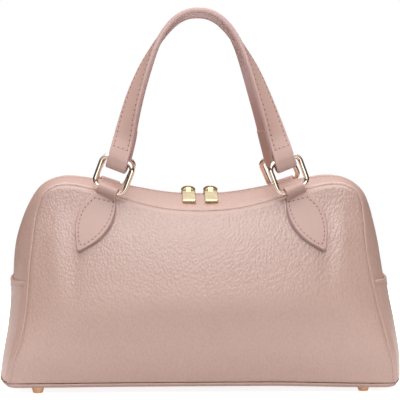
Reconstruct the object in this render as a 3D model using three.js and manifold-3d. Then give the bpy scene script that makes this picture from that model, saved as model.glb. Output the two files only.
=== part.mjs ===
// Soft trapezoid handbag in grained leather. A front and a back panel are joined by a gusset on each end
// and a zipped strip along the top. It stands on metal feet and has a slip pocket on each end and a pair
// of strap handles hung on square rings from leaf shaped tabs.
// Millimetres, +Z up. The front faces -Y and the origin is on the floor under the middle of the bag.

import * as THREE from "three";
import { mergeVertices } from "three/addons/utils/BufferGeometryUtils.js";
import Module from "manifold-3d";

const wasm = await Module();
wasm.setup();

// Leather and clearances

const LEATHER = 2; // wall of the panels, gussets, strips and base
const POCKET_LEATHER = 1.6; // wall of the slip pockets
const GAP = 0.4; // clear space between neighbouring pieces
const SPLIT = 0.012; // half of that space where a strip meets a gusset, in stations of the seam

// Front panel

// The front seam from the right base corner, up the side and along the top to the middle. The left half
// mirrors it. across and up place the seam, bulge is how far the band behind it swells at mid depth.
const SEAM = [
  { at: "base corner", across: 161.5, up: 12, bulge: 8.2 },
  { at: "flare", across: 158.5, up: 30, bulge: 9.6 },
  { at: "low side", across: 152, up: 52, bulge: 12.2 },
  { at: "waist", across: 147, up: 74, bulge: 13.6 },
  { at: "pocket mouth", across: 143.8, up: 95, bulge: 14.8 },
  { at: "upper side", across: 140.2, up: 124, bulge: 14.6 },
  { at: "shoulder", across: 137.4, up: 150, bulge: 10 },
  { at: "corner", across: 133.2, up: 165.5, bulge: 6 },
  { at: "crown", across: 122.5, up: 173.8, bulge: 4.4 },
  { at: "crest", across: 108, up: 175.2, bulge: 4.2 },
  { at: "tab", across: 86, up: 170.4, bulge: 6.4 },
  { at: "slope", across: 58, up: 162, bulge: 9 },
  { at: "dip side", across: 28, up: 155.6, bulge: 10.4 },
  { at: "dip", across: 0, up: 153.9, bulge: 10.6 },
];
const SHOULDER = 6; // station where the side of the panel ends and its top begins
const POCKET_MOUTH = 4; // station of the pocket's mouth at the seam
const ZIP_END = 5.6; // station where the strips meet the gusset
const GUSSET_FOOT = 0.04; // station where the gusset starts, just over the base's rim

// Half depth of the bag at the side seam by height
const DEPTH = [
  { up: 12, depth: 57 },
  { up: 40, depth: 61 },
  { up: 70, depth: 60 },
  { up: 100, depth: 56 },
  { up: 130, depth: 49.5 },
  { up: 155, depth: 43 },
  { up: 176, depth: 39.5 },
];
const CROWN = 10; // swell of the panel in front of its side seams
const CROWN_ROUND = 2.4; // how evenly that swell fills the width
const CROWN_TOP = 175; // height where it has died away
const SIDE_ROUND = 2.4; // roundness of the gussets from front to back
const TOP_ROUND = 1.5; // roundness of the strips, nearer to a roof

// Base and feet

const RIM_TOP = 11.6; // height of the base's turned up rim
const BASE_UNDER = 7.6; // height of its underside
const BASE_ROLL = 6; // width of the rolled edge
const FOOT = { x: 137.5, y: 42, height: 7.2, topRadius: 6.2, bottomRadius: 4.2, bevel: 0.6 };

// Pockets

const POCKET_EDGE = 0.95; // share of the gusset's depth that a pocket spans
const POCKET_RISE = -0.15; // rise of the mouth at mid depth, in stations
const POCKET_SLACK = 0.7; // how far the mouth stands off at mid depth

// Zip

const ZIP_HALF = 4.2; // from the middle to the strip's edge
const TAPE = { half: 9, top: -2.4, bottom: -3.2 }; // heights from the crest of the strips
const TEETH = { half: 2.6, top: -1.2, bottom: -2 };
const SLIDER = { x: 9.5, length: 12, width: 7.4, bottom: -0.8, top: 0.4 };
const BAIL = { post: 1.4, bar: 0.9, reach: 7.2, sink: 0.2 }; // hinge bar on two posts over the slider
const HINGE_RISE = 3; // hinge bar over the crest of the strips
const PULL = { length: 31, width: 11, round: 1.5, thick: 1.8, lip: 1.4, shoulder: 3.6 };
const KNUCKLE = { radius: 2.1, bore: 1.3, width: 5 }; // of a pull, round the hinge bar
const PULL_REST = 13; // degrees below level where a pull lies on the strip

// Rings, from the middle of the bag

const RING = { x: 73, y: 48.5, z: 184.4, wide: 27.8, tall: 26.3, corner: 6.2, wire: 1.85 };
const RING_LEAN = 20; // degrees, the tops lean to the middle
const RING_YAW = 16; // degrees, the inner bar stands nearer its face of the bag

// Handles: the back one's rings hang lower and tilt in

const HANDLE = { bow: 2.3, width: 18, leanIn: 14, chamfer: 1.2 };
const HUNG = {
  front: { rise: 126, drop: 0, tilt: 0 },
  back: { rise: 129.5, drop: 3, tilt: 15 },
};
// Turn of the strap about its own length and its thickness, by the share of the fall from its top
const STRAP = [
  { fall: 0, turn: 0, thick: 4.6 },
  { fall: 0.12, turn: 3, thick: 4.6 },
  { fall: 0.24, turn: 12, thick: 4.6 },
  { fall: 0.36, turn: 26, thick: 4.6 },
  { fall: 0.52, turn: 41, thick: 4.6 },
  { fall: 0.68, turn: 53, thick: 4.6 },
  { fall: 0.85, turn: 68, thick: 5.2 },
  { fall: 1, turn: 74, thick: 6 },
];
const LOOP = { wall: 1.7, length: 17.4, sides: 12 }; // leather round a ring's bar

// Tabs

const TAB = { thick: 3.2, splay: 27.3, neck: 11, clear: 0.7, shift: 1.2 }; // clear is kept from the panel
// Leaf outline down from the middle of the ring's lower bar
const LEAF = [
  { along: 0, half: 8.7 },
  { along: 6, half: 9.4 },
  { along: 11, half: 12 },
  { along: 20, half: 14.8 },
  { along: 28, half: 14.8 },
  { along: 36, half: 13 },
  { along: 43, half: 10 },
  { along: 50, half: 5.6 },
  { along: 57, half: 0.8 },
];

// Facets across and along each wall

const FACETS = {
  panel: [22, 9],
  gusset: [10, 10],
  pocket: [10, 7],
  strip: [36, 3],
  zip: [36, 1],
  leaf: [5, 11],
};

// Materials

const LEATHER_PINK = new THREE.MeshStandardMaterial({ name: "leather", color: "#cfa99c", roughness: 0.6 });
const TAPE_MAUVE = new THREE.MeshStandardMaterial({ name: "tape", color: "#b98f8b", roughness: 0.9 });
const GOLD = new THREE.MeshStandardMaterial({ name: "gold", color: "#d8bd95", roughness: 0.2, metalness: 1 });

// Curves through tables

const radians = THREE.MathUtils.degToRad;
const lerp = THREE.MathUtils.lerp;
const vector = (x, y, z) => new THREE.Vector3(x, y, z);

// Value of a column on the smooth curve through a table whose key column rises from row to row.
function smooth(rows, key, column, at) {
  const last = rows.length - 1;
  let i = 0;
  while (i < last - 1 && at > rows[i + 1][key]) i++;
  const slope = (j) => {
    const before = rows[Math.max(j - 1, 0)];
    const after = rows[Math.min(j + 1, last)];
    return (after[column] - before[column]) / (after[key] - before[key]);
  };
  const span = rows[i + 1][key] - rows[i][key];
  const t = THREE.MathUtils.clamp((at - rows[i][key]) / span, 0, 1);
  const [p, q] = [rows[i][column], rows[i + 1][column]];
  const [m, n] = [slope(i) * span, slope(i + 1) * span];
  return p + t * (m + t * (3 * (q - p) - 2 * m - n + t * (2 * (p - q) + m + n)));
}

const MIDDLE = SEAM.length - 1;
const LEFT_SEAM = SEAM.slice(0, MIDDLE).reverse();
const WHOLE_SEAM = [...SEAM, ...LEFT_SEAM.map((row) => ({ ...row, across: -row.across }))];
WHOLE_SEAM.forEach((row, station) => Object.assign(row, { station }));
const SIDE_ROWS = SEAM.slice(0, SHOULDER + 1);

// Point of the front seam, its outward normal seen from the front, and the band's bulge there.
function seam(station) {
  const place = (s, column) => smooth(WHOLE_SEAM, "station", column, s);
  const step = 0.01;
  const x = place(station, "across");
  const z = place(station, "up");
  const along = new THREE.Vector2(
    place(station + step, "across") - place(station - step, "across"),
    place(station + step, "up") - place(station - step, "up"),
  ).normalize();
  return { x, z, normal: vector(along.y, 0, -along.x), bulge: place(station, "bulge") };
}

// Half depth of the front panel's outer skin at a place seen from the front.
function frontDepth(x, z) {
  const side = smooth(SIDE_ROWS, "up", "across", z);
  const share = THREE.MathUtils.clamp((z - RIM_TOP) / (CROWN_TOP - RIM_TOP), 0, 1);
  const width = Math.min(Math.abs(x) / side, 1);
  return smooth(DEPTH, "up", "depth", z) + CROWN * Math.sin(Math.PI * share) * (1 - width ** CROWN_ROUND);
}

// Point of the band behind the front seam. across runs from -1 at the front seam to 1 at the back one, and
// lift moves the point out along the seam's normal.
function band(station, across, lift) {
  const { x, z, normal, bulge } = seam(station);
  const reach = frontDepth(x, z) - LEATHER - GAP;
  const round = lerp(SIDE_ROUND, TOP_ROUND, Math.max(normal.z, 0));
  const out = bulge * (1 - Math.abs(across) ** round) + lift;
  return vector(x + normal.x * out, across * reach, z + normal.z * out);
}

// Share of the band's half depth that reaches a distance from the middle.
function shareAt(station, distance) {
  const { x, z } = seam(station);
  return distance / (frontDepth(x, z) - LEATHER - GAP);
}

// Solids

// Turns every face outward.
function outward(geometry) {
  const place = geometry.getAttribute("position");
  const index = geometry.index.array;
  const corner = [vector(), vector(), vector()];
  let volume = 0;
  for (let i = 0; i < index.length; i += 3) {
    corner.forEach((point, k) => point.fromBufferAttribute(place, index[i + k]));
    volume += corner[0].dot(corner[1].clone().cross(corner[2]));
  }
  if (volume < 0) {
    for (let i = 0; i < index.length; i += 3) [index[i], index[i + 1]] = [index[i + 1], index[i]];
  }
  geometry.computeVertexNormals();
  return geometry;
}

function mesh(points, index) {
  const geometry = new THREE.BufferGeometry().setFromPoints(points);
  geometry.setIndex(index);
  return outward(geometry);
}

// Closed wall between an outer and an inner skin, each given at shares 0 to 1 of two directions.
function wall(columns, rows, outer, inner) {
  const points = [];
  const index = [];
  for (const skin of [outer, inner]) {
    for (let i = 0; i <= columns; i++) {
      for (let j = 0; j <= rows; j++) points.push(skin(i / columns, j / rows));
    }
  }
  const half = points.length / 2;
  const at = (i, j) => i * (rows + 1) + j;
  const quad = (a, b, c, d) => index.push(a, b, c, a, c, d);
  for (let i = 0; i < columns; i++) {
    for (let j = 0; j < rows; j++) {
      const face = [at(i, j), at(i + 1, j), at(i + 1, j + 1), at(i, j + 1)];
      quad(...face);
      quad(...face.map((k) => k + half).reverse());
    }
  }
  const edge = (a, b) => quad(b, a, a + half, b + half);
  for (let i = 0; i < columns; i++) {
    edge(at(i, 0), at(i + 1, 0));
    edge(at(i + 1, rows), at(i, rows));
  }
  for (let j = 0; j < rows; j++) {
    edge(at(columns, j), at(columns, j + 1));
    edge(at(0, j + 1), at(0, j));
  }
  return mesh(points, index);
}

// Body through matching loops of points, capped at both ends or run round into itself.
function loft(loops, closed) {
  const sides = loops[0].length;
  const points = loops.flat();
  const index = [];
  const count = closed ? loops.length : loops.length - 1;
  for (let i = 0; i < count; i++) {
    const next = (i + 1) % loops.length;
    for (let j = 0; j < sides; j++) {
      const k = (j + 1) % sides;
      const [a, b, c, d] = [i * sides + j, i * sides + k, next * sides + k, next * sides + j];
      index.push(a, b, c, a, c, d);
    }
  }
  if (!closed) {
    const end = (loops.length - 1) * sides;
    for (let j = 1; j < sides - 1; j++) {
      index.push(0, j + 1, j);
      index.push(end, end + j, end + j + 1);
    }
  }
  return mesh(points, index);
}

function toSolid(geometry) {
  const plain = new THREE.BufferGeometry();
  plain.setAttribute("position", geometry.getAttribute("position").clone());
  if (geometry.index) plain.setIndex(geometry.index.clone());
  const joined = mergeVertices(plain, 1e-4);
  return new wasm.Manifold(
    new wasm.Mesh({
      numProp: 3,
      vertProperties: Float32Array.from(joined.getAttribute("position").array),
      triVerts: Uint32Array.from(joined.index.array),
    }),
  );
}

function toGeometry(solid) {
  const data = solid.getMesh();
  const geometry = new THREE.BufferGeometry();
  geometry.setAttribute("position", new THREE.BufferAttribute(Float32Array.from(data.vertProperties), 3));
  geometry.setIndex(Array.from(data.triVerts));
  geometry.computeVertexNormals();
  return geometry;
}

// Cylinder whose axis is the local X of a placing matrix.
function rod(radius, length, sides, matrix) {
  const geometry = new THREE.CylinderGeometry(radius, radius, length, sides);
  geometry.rotateZ(Math.PI / 2);
  return toSolid(geometry.applyMatrix4(matrix));
}

// Front and back panel

// Place on the panel seen from the front, from shares across from the right and up: edges blended inward.
function panelPlace(u, w) {
  const top = seam(lerp(SHOULDER, 2 * MIDDLE - SHOULDER, u));
  const side = seam(lerp(0, SHOULDER, w));
  const base = SEAM[0];
  const shoulder = SEAM[SHOULDER];
  const turn = 1 - 2 * u;
  const x = lerp((top.x * base.across) / shoulder.across, top.x, w) + turn * side.x;
  const z = lerp(base.up, top.z, w) + side.z;
  return { x: x - turn * lerp(base.across, shoulder.across, w), z: z - lerp(base.up, shoulder.up, w) };
}

function panelSkin(u, w, inset) {
  const { x, z } = panelPlace(u, w);
  return vector(x, inset - frontDepth(x, z), z);
}

const panel = wall(...FACETS.panel, (u, w) => panelSkin(u, w, 0), (u, w) => panelSkin(u, w, LEATHER));

// Gussets, pockets and strips

const gussetSkin = (u, w, lift) => band(lerp(GUSSET_FOOT, ZIP_END - SPLIT, w), 2 * u - 1, lift);
const gusset = wall(...FACETS.gusset, (u, w) => gussetSkin(u, w, 0), (u, w) => gussetSkin(u, w, -LEATHER));

function pocketSkin(u, w, lift) {
  const across = (2 * u - 1) * POCKET_EDGE;
  const middle = 1 - Math.abs(across) ** SIDE_ROUND;
  const station = w * (POCKET_MOUTH + POCKET_RISE * middle);
  return band(station, across, lift + POCKET_SLACK * middle * w ** 3);
}

const pocket = wall(
  ...FACETS.pocket,
  (u, w) => pocketSkin(u, w, GAP + POCKET_LEATHER),
  (u, w) => pocketSkin(u, w, GAP),
);

const zipStation = (u) => lerp(ZIP_END + SPLIT, 2 * MIDDLE - ZIP_END - SPLIT, u);

function stripSkin(u, w, lift) {
  const station = zipStation(u);
  return band(station, lerp(-1, -shareAt(station, ZIP_HALF), w), lift);
}

const strip = wall(...FACETS.strip, (u, w) => stripSkin(u, w, 0), (u, w) => stripSkin(u, w, -LEATHER));

function zipRun({ half, top, bottom }) {
  const skin = (lift) => (u, w) => {
    const station = zipStation(u);
    return band(station, (2 * w - 1) * shareAt(station, half), lift);
  };
  return wall(...FACETS.zip, skin(top), skin(bottom));
}

// Base

// Shares of the width and depth that put two short steps on each rolled edge.
function stepped(t, count, half) {
  const steps = Math.round(t * count);
  const roll = [0, 0.3 * BASE_ROLL, BASE_ROLL];
  if (steps <= 2) return roll[steps] - half;
  if (steps >= count - 2) return half - roll[count - steps];
  return lerp(BASE_ROLL - half, half - BASE_ROLL, (steps - 2) / (count - 4));
}

const BASE_STEPS = { x: 14, y: 8 };
const BASE_HALF = { x: SEAM[0].across, y: DEPTH[0].depth };
const POCKET_OUT = SEAM[0].bulge + GAP + POCKET_LEATHER;

function baseSkin(u, w, inset) {
  const flatX = stepped(u, BASE_STEPS.x, BASE_HALF.x);
  const flatY = stepped(w, BASE_STEPS.y, BASE_HALF.y);
  const edge = Math.min(BASE_HALF.x - Math.abs(flatX), BASE_HALF.y - Math.abs(flatY), BASE_ROLL);
  const roll = 1 - Math.sqrt(1 - (1 - edge / BASE_ROLL) ** 2);
  const end = BASE_HALF.x + POCKET_OUT * (1 - Math.abs(flatY / BASE_HALF.y) ** SIDE_ROUND);
  const x = flatX * ((end - inset) / BASE_HALF.x);
  const y = flatY * ((BASE_HALF.y - inset) / BASE_HALF.y);
  return vector(x, y, lerp(BASE_UNDER + inset, RIM_TOP, roll));
}

const base = wall(
  BASE_STEPS.x,
  BASE_STEPS.y,
  (u, w) => baseSkin(u, w, 0),
  (u, w) => baseSkin(u, w, LEATHER),
);

const footOutline = [
  new THREE.Vector2(0, 0),
  new THREE.Vector2(FOOT.bottomRadius - FOOT.bevel, 0),
  new THREE.Vector2(FOOT.bottomRadius, FOOT.bevel),
  new THREE.Vector2(FOOT.topRadius, FOOT.height - FOOT.bevel),
  new THREE.Vector2(FOOT.topRadius, FOOT.height),
  new THREE.Vector2(0, FOOT.height),
];
const foot = new THREE.LatheGeometry(footOutline, 16).rotateX(Math.PI / 2);

// Rings, handles and tabs: left ones seen from their own face, mirrored for the others

const placed = (frame, point) => frame.clone().setPosition(point);

// How the left ring of a face stands: its bars' middles, its directions and its frame.
function ringStand({ drop, tilt }) {
  const upright = vector(Math.sin(radians(RING_LEAN)), 0, Math.cos(radians(RING_LEAN)));
  const bar = vector(upright.z, 0, -upright.x)
    .multiplyScalar(Math.cos(radians(RING_YAW)))
    .add(vector(0, -Math.sin(radians(RING_YAW)), 0));
  const up = upright.clone().applyAxisAngle(bar, -radians(tilt));
  const normal = bar.clone().cross(up);
  const lower = vector(-RING.x, -RING.y, RING.z - drop).addScaledVector(upright, -RING.tall / 2);
  const middle = lower.clone().addScaledVector(up, RING.tall / 2);
  const upper = lower.clone().addScaledVector(up, RING.tall);
  return { bar, up, normal, lower, middle, upper, frame: new THREE.Matrix4().makeBasis(bar, up, normal) };
}

function ringGeometry(stand) {
  const [cornerSteps, sides] = [5, 6];
  const loops = [];
  for (let quarter = 0; quarter < 4; quarter++) {
    for (let i = 0; i <= cornerSteps; i++) {
      const angle = ((quarter + i / cornerSteps) * Math.PI) / 2;
      const out = vector(Math.cos(angle), Math.sin(angle), 0);
      const signX = quarter === 0 || quarter === 3 ? 1 : -1;
      const signY = quarter < 2 ? 1 : -1;
      const middle = vector(signX * (RING.wide / 2 - RING.corner), signY * (RING.tall / 2 - RING.corner), 0);
      middle.addScaledVector(out, RING.corner);
      const loop = [];
      for (let j = 0; j < sides; j++) {
        const round = (j / sides) * 2 * Math.PI;
        const point = middle.clone().addScaledVector(out, RING.wire * Math.cos(round));
        loop.push(point.setZ(RING.wire * Math.sin(round)));
      }
      loops.push(loop);
    }
  }
  return loft(loops, true).applyMatrix4(placed(stand.frame, stand.middle));
}

const loopOuter = RING.wire + GAP + LOOP.wall;
const loopBore = RING.wire + GAP;

// Adds a leather loop round a ring's bar to a strap's end.
function looped(solid, frame, point) {
  const around = rod(loopOuter, LOOP.length, LOOP.sides, placed(frame, point));
  const bore = rod(loopBore, 3 * LOOP.length, LOOP.sides, placed(frame, point));
  return solid.add(around).subtract(bore);
}

const fallOf = (share) => Math.abs(share) ** HANDLE.bow;

// Point of a handle's middle line: an arch from ring to ring that leans in toward the other handle.
function archPoint(upper, rise, share) {
  const height = rise * (1 - fallOf(share));
  const lean = radians(HANDLE.leanIn);
  return vector(-upper.x * share, upper.y + height * Math.sin(lean), upper.z + height * Math.cos(lean));
}

function handleGeometry({ bar, up, normal, upper, frame }, rise) {
  const steps = 28;
  const lean = radians(HANDLE.leanIn);
  const archNormal = vector(0, Math.cos(lean), -Math.sin(lean));
  const loops = [];
  for (let i = 0; i <= steps; i++) {
    const share = (2 * i) / steps - 1;
    const behind = archPoint(upper, rise, share - 0.001);
    const along = archPoint(upper, rise, share + 0.001).sub(behind).normalize();
    const out = archNormal.clone().cross(along).negate();
    const turn = radians(smooth(STRAP, "fall", "turn", fallOf(share)));
    const thick = smooth(STRAP, "fall", "thick", fallOf(share)) / 2;
    const wide = HANDLE.width / 2;
    const face = out.clone().multiplyScalar(Math.cos(turn)).addScaledVector(archNormal, -Math.sin(turn));
    const width = out.clone().multiplyScalar(Math.sin(turn)).addScaledVector(archNormal, Math.cos(turn));
    const cut = HANDLE.chamfer;
    const outline = [
      [wide, thick - cut],
      [wide - cut, thick],
      [cut - wide, thick],
      [-wide, thick - cut],
      [-wide, cut - thick],
      [cut - wide, -thick],
      [wide - cut, -thick],
      [wide, cut - thick],
    ];
    const middle = archPoint(upper, rise, share);
    loops.push(outline.map(([w, t]) => middle.clone().addScaledVector(width, w).addScaledVector(face, t)));
  }
  const mirror = new THREE.Matrix4().makeScale(-1, 1, 1);
  const rightFrame = new THREE.Matrix4().makeBasis(
    bar.clone().applyMatrix4(mirror).negate(),
    up.clone().applyMatrix4(mirror),
    normal.clone().applyMatrix4(mirror),
  );
  let solid = looped(toSolid(loft(loops, false)), frame, upper);
  solid = looped(solid, rightFrame, upper.clone().applyMatrix4(mirror));
  return toGeometry(solid);
}

// Skin of a tab: its neck comes down from the ring's lower bar and its leaf lies on the panel.
function tabSkin(lower, u, w, side) {
  const last = LEAF[LEAF.length - 1].along;
  const along = w * last;
  const inward = TAB.shift * THREE.MathUtils.smoothstep(along, 0, 14);
  const across = (2 * u - 1) * smooth(LEAF, "along", "half", along) + inward;
  const splay = radians(TAB.splay);
  const x = lower.x - along * Math.sin(splay) + across * Math.cos(splay);
  const z = lower.z - along * Math.cos(splay) - across * Math.sin(splay);
  const onPanel = -frontDepth(x, z) - TAB.clear - TAB.thick / 2;
  const onBar = lower.y - across * Math.sin(radians(RING_YAW));
  const down = THREE.MathUtils.smoothstep(along, 0, TAB.neck);
  return vector(x, lerp(onBar, onPanel, down) + (side * TAB.thick) / 2, z);
}

function tabGeometry({ lower, frame }) {
  const leaf = wall(...FACETS.leaf, (u, w) => tabSkin(lower, u, w, -1), (u, w) => tabSkin(lower, u, w, 1));
  return toGeometry(looped(toSolid(leaf), frame, lower));
}

// Zip sliders and pulls, about the middle of the hinge bar

function sliderGeometry() {
  const box = (x, y, z, middleX, middleZ) =>
    toSolid(new THREE.BoxGeometry(x, y, z).translate(middleX, 0, middleZ));
  const top = SLIDER.top - HINGE_RISE;
  const bottom = SLIDER.bottom - HINGE_RISE;
  const plate = box(SLIDER.length, SLIDER.width, top - bottom, 0, (top + bottom) / 2);
  let solid = plate.add(rod(BAIL.bar, BAIL.reach + BAIL.post, 12, new THREE.Matrix4()));
  for (const side of [-1, 1]) {
    const height = BAIL.bar - top + BAIL.sink;
    const middle = top + height / 2 - BAIL.sink;
    solid = solid.add(box(BAIL.post, 2 * BAIL.bar, height, (side * BAIL.reach) / 2, middle));
  }
  return toGeometry(solid);
}

function pullGeometry() {
  const [neck, wide, round] = [KNUCKLE.width / 2, PULL.width / 2, PULL.round];
  const outline = new THREE.Shape();
  outline.moveTo(-neck, 0);
  outline.lineTo(-neck, PULL.shoulder);
  outline.lineTo(round - wide, PULL.shoulder);
  outline.quadraticCurveTo(-wide, PULL.shoulder, -wide, PULL.shoulder + round);
  outline.lineTo(-wide, PULL.length);
  outline.lineTo(wide, PULL.length);
  outline.lineTo(wide, PULL.shoulder + round);
  outline.quadraticCurveTo(wide, PULL.shoulder, wide - round, PULL.shoulder);
  outline.lineTo(neck, PULL.shoulder);
  outline.lineTo(neck, 0);
  const sheet = { depth: PULL.thick, bevelEnabled: false, curveSegments: 3 };
  const plate = new THREE.ExtrudeGeometry(outline, sheet);
  plate.translate(0, 0, -PULL.thick / 2).rotateX(Math.PI);
  const lip = new THREE.Matrix4().makeTranslation(0, -PULL.length, PULL.lip - PULL.thick / 2);
  const solid = toSolid(plate)
    .add(rod(PULL.lip, PULL.width, 12, lip))
    .add(rod(KNUCKLE.radius, KNUCKLE.width, 14, new THREE.Matrix4()))
    .subtract(rod(KNUCKLE.bore, 3 * KNUCKLE.width, 14, new THREE.Matrix4()));
  return toGeometry(solid).rotateX(radians(PULL_REST));
}

// Assembly

const bag = new THREE.Group();
bag.name = "leather_handbag";

function place(name, geometry, material, scaleX = 1, scaleY = 1) {
  const piece = new THREE.Mesh(geometry, material.clone());
  piece.name = name;
  piece.scale.set(scaleX, scaleY, 1);
  bag.add(piece);
  return piece;
}

const slider = sliderGeometry();
const pull = pullGeometry();
const zipStationAtSlider = MIDDLE - SLIDER.x / SEAM[MIDDLE - 1].across;
const hingeHeight = band(zipStationAtSlider, 0, HINGE_RISE).z;

const FACES = [
  { face: "front", scaleY: 1, hung: HUNG.front },
  { face: "back", scaleY: -1, hung: HUNG.back },
];
const SIDES = [
  { side: "left", scaleX: 1 },
  { side: "right", scaleX: -1 },
];

place("base_panel", base, LEATHER_PINK);
place("zip_tape", zipRun(TAPE), TAPE_MAUVE);
place("zip_teeth", zipRun(TEETH), GOLD);
for (const { face, scaleY, hung } of FACES) {
  const stand = ringStand(hung);
  const ring = ringGeometry(stand);
  const tab = tabGeometry(stand);
  place(`${face}_panel`, panel, LEATHER_PINK, 1, scaleY);
  place(`top_strip_${face}`, strip, LEATHER_PINK, 1, scaleY);
  place(`handle_${face}`, handleGeometry(stand, hung.rise), LEATHER_PINK, 1, scaleY);
  for (const { side, scaleX } of SIDES) {
    place(`ring_${face}_${side}`, ring, GOLD, scaleX, scaleY);
    place(`tab_${face}_${side}`, tab, LEATHER_PINK, scaleX, scaleY);
    place(`foot_${face}_${side}`, foot, GOLD).position.set(-scaleX * FOOT.x, -scaleY * FOOT.y, 0);
  }
}
for (const { side, scaleX } of SIDES) {
  place(`gusset_${side}`, gusset, LEATHER_PINK, -scaleX);
  place(`pocket_${side}`, pocket, LEATHER_PINK, -scaleX);
  place(`zip_slider_${side}`, slider, GOLD).position.set(-scaleX * SLIDER.x, 0, hingeHeight);
  place(`zip_pull_${side}`, pull, GOLD).position.set(-scaleX * SLIDER.x, 0, hingeHeight);
}

export default bag;
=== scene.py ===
"""Looks of a soft leather handbag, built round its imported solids.

The bag's main form is a few smooth tables: the front seam, the half depth by height and
the swell of the panels. Each leather piece is a surface worked out from them. Shapes are
in millimetres, in the frame of the solids, with the front to -Y, and become metres in
their meshes.
"""

from __future__ import annotations

import logging
import math
from dataclasses import dataclass
from enum import Enum
from functools import cached_property
from typing import Any, NamedTuple

import bpy
import numpy as np
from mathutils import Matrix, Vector

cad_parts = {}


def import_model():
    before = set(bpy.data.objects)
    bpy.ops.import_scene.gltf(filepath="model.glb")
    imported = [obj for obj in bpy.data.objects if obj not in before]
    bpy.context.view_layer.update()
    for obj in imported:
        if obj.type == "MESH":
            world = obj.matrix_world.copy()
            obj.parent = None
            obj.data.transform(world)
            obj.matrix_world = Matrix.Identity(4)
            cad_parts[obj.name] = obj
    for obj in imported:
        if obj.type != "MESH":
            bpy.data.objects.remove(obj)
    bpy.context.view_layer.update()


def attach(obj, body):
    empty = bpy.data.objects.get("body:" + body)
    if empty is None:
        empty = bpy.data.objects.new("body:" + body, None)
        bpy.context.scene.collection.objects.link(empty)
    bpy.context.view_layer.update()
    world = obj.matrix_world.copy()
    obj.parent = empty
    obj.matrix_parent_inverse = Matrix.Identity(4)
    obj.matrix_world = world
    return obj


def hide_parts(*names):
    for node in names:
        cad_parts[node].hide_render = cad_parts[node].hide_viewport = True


Array = np.ndarray
Socket = bpy.types.NodeSocket
Pair = tuple[float, float]
Triple = tuple[float, float, float]
Paint = tuple[float, float, float, float]

LOG = logging.getLogger("handbag")
MM = 0.001
FAR = 1e9
TINY = 1e-9
SHARP_ANGLE = math.radians(70.0)


class Side(Enum):
    """End of the bag, with the sign of its X."""

    LEFT = -1
    RIGHT = 1


class Face(Enum):
    """Broad face of the bag, with the sign of its Y."""

    FRONT = -1
    BACK = 1


class Slot(Enum):
    """Material slots of the record."""

    LEATHER = "leather"
    GOLD = "gold"
    TAPE = "zip_tape"


def word(choice: Enum) -> str:
    """Lower case name of a choice."""
    return choice.name.lower()


def lerp(start: Any, end: Any, share: Any) -> Any:
    """Value a share of the way from start to end."""
    return start + (end - start) * share


def smoothstep(low: float, high: float, at: Array) -> Array:
    """Smooth rise from 0 at low to 1 at high: t * t * (3 - 2 t)."""
    t = np.clip((at - low) / (high - low), 0.0, 1.0)
    return t * t * (3.0 - 2.0 * t)


def unit(vectors: Array) -> Array:
    """Vectors scaled to a length of one."""
    return vectors / np.linalg.norm(vectors, axis=-1, keepdims=True)


def edge_fall(distance: Array, radius: float) -> Array:
    """Quarter circle fall, 1 - sqrt(1 - (1 - d/r)^2), from 1 at an edge to 0 a radius inside."""
    inside = np.clip(distance / radius, 0.0, 1.0)
    return 1.0 - np.sqrt(1.0 - (1.0 - inside) ** 2)


def crowded(count: int, length: float, margin: float, cells: int) -> Array:
    """Shares from 0 to 1 with short steps in a margin at both ends.

    Args:
        count: Number of shares.
        length: Length that the shares run over.
        margin: Part of it at each end with short steps.
        cells: Steps in each margin.

    Returns:
        Rising shares.
    """
    rim = margin / length * np.linspace(0.0, 1.0, cells + 1) ** 1.4
    middle = np.linspace(rim[-1], 1.0 - rim[-1], count - 2 * cells)
    return np.concatenate([rim[:-1], middle, 1.0 - rim[-2::-1]])


def run_lengths(line: Array, axis: int = 0) -> Array:
    """Length run along an axis of a grid of points, from its first point.

    Args:
        line: Points of a line or a grid.
        axis: Axis to run along.

    Returns:
        The length at each point.
    """
    steps = np.linalg.norm(np.diff(line, axis=axis), axis=-1)
    start = np.zeros_like(np.take(steps, [0], axis=axis))
    return np.concatenate([start, np.cumsum(steps, axis=axis)], axis=axis)


def along_line(line: Array, run: Array, places: Array) -> Array:
    """Points of a line, or vectors on it, at places given by the length run."""
    return np.stack([np.interp(places, run, column) for column in line.T], -1)


def round_angles(count: int) -> Array:
    """Angles of evenly spaced points round a circle."""
    return np.arange(count) / count * 2.0 * np.pi


def rounded_box(half_x: float, half_y: float, corner: float, steps: int) -> tuple[Array, Array]:
    """Closed rectangle with quarter circle corners.

    Args:
        half_x: Half width.
        half_y: Half height.
        corner: Radius of the corners.
        steps: Points of each corner.

    Returns:
        Points of the outline and the outward directions there.
    """
    quarter, share = np.meshgrid(np.arange(4), np.linspace(0.0, 1.0, steps), indexing="ij")
    angle = ((quarter + share) * np.pi / 2).ravel()
    out = np.stack([np.cos(angle), np.sin(angle)], -1)
    signs = np.array([[1, 1], [-1, 1], [-1, -1], [1, -1]])[quarter.ravel()]
    return signs * (np.array([half_x, half_y]) - corner) + out * corner, out


def normals_of(grid: Array) -> Array:
    """Unit normals of a grid of points: the cross product of its two directions' differences."""
    return unit(np.cross(np.gradient(grid, axis=0), np.gradient(grid, axis=1)))


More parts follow.
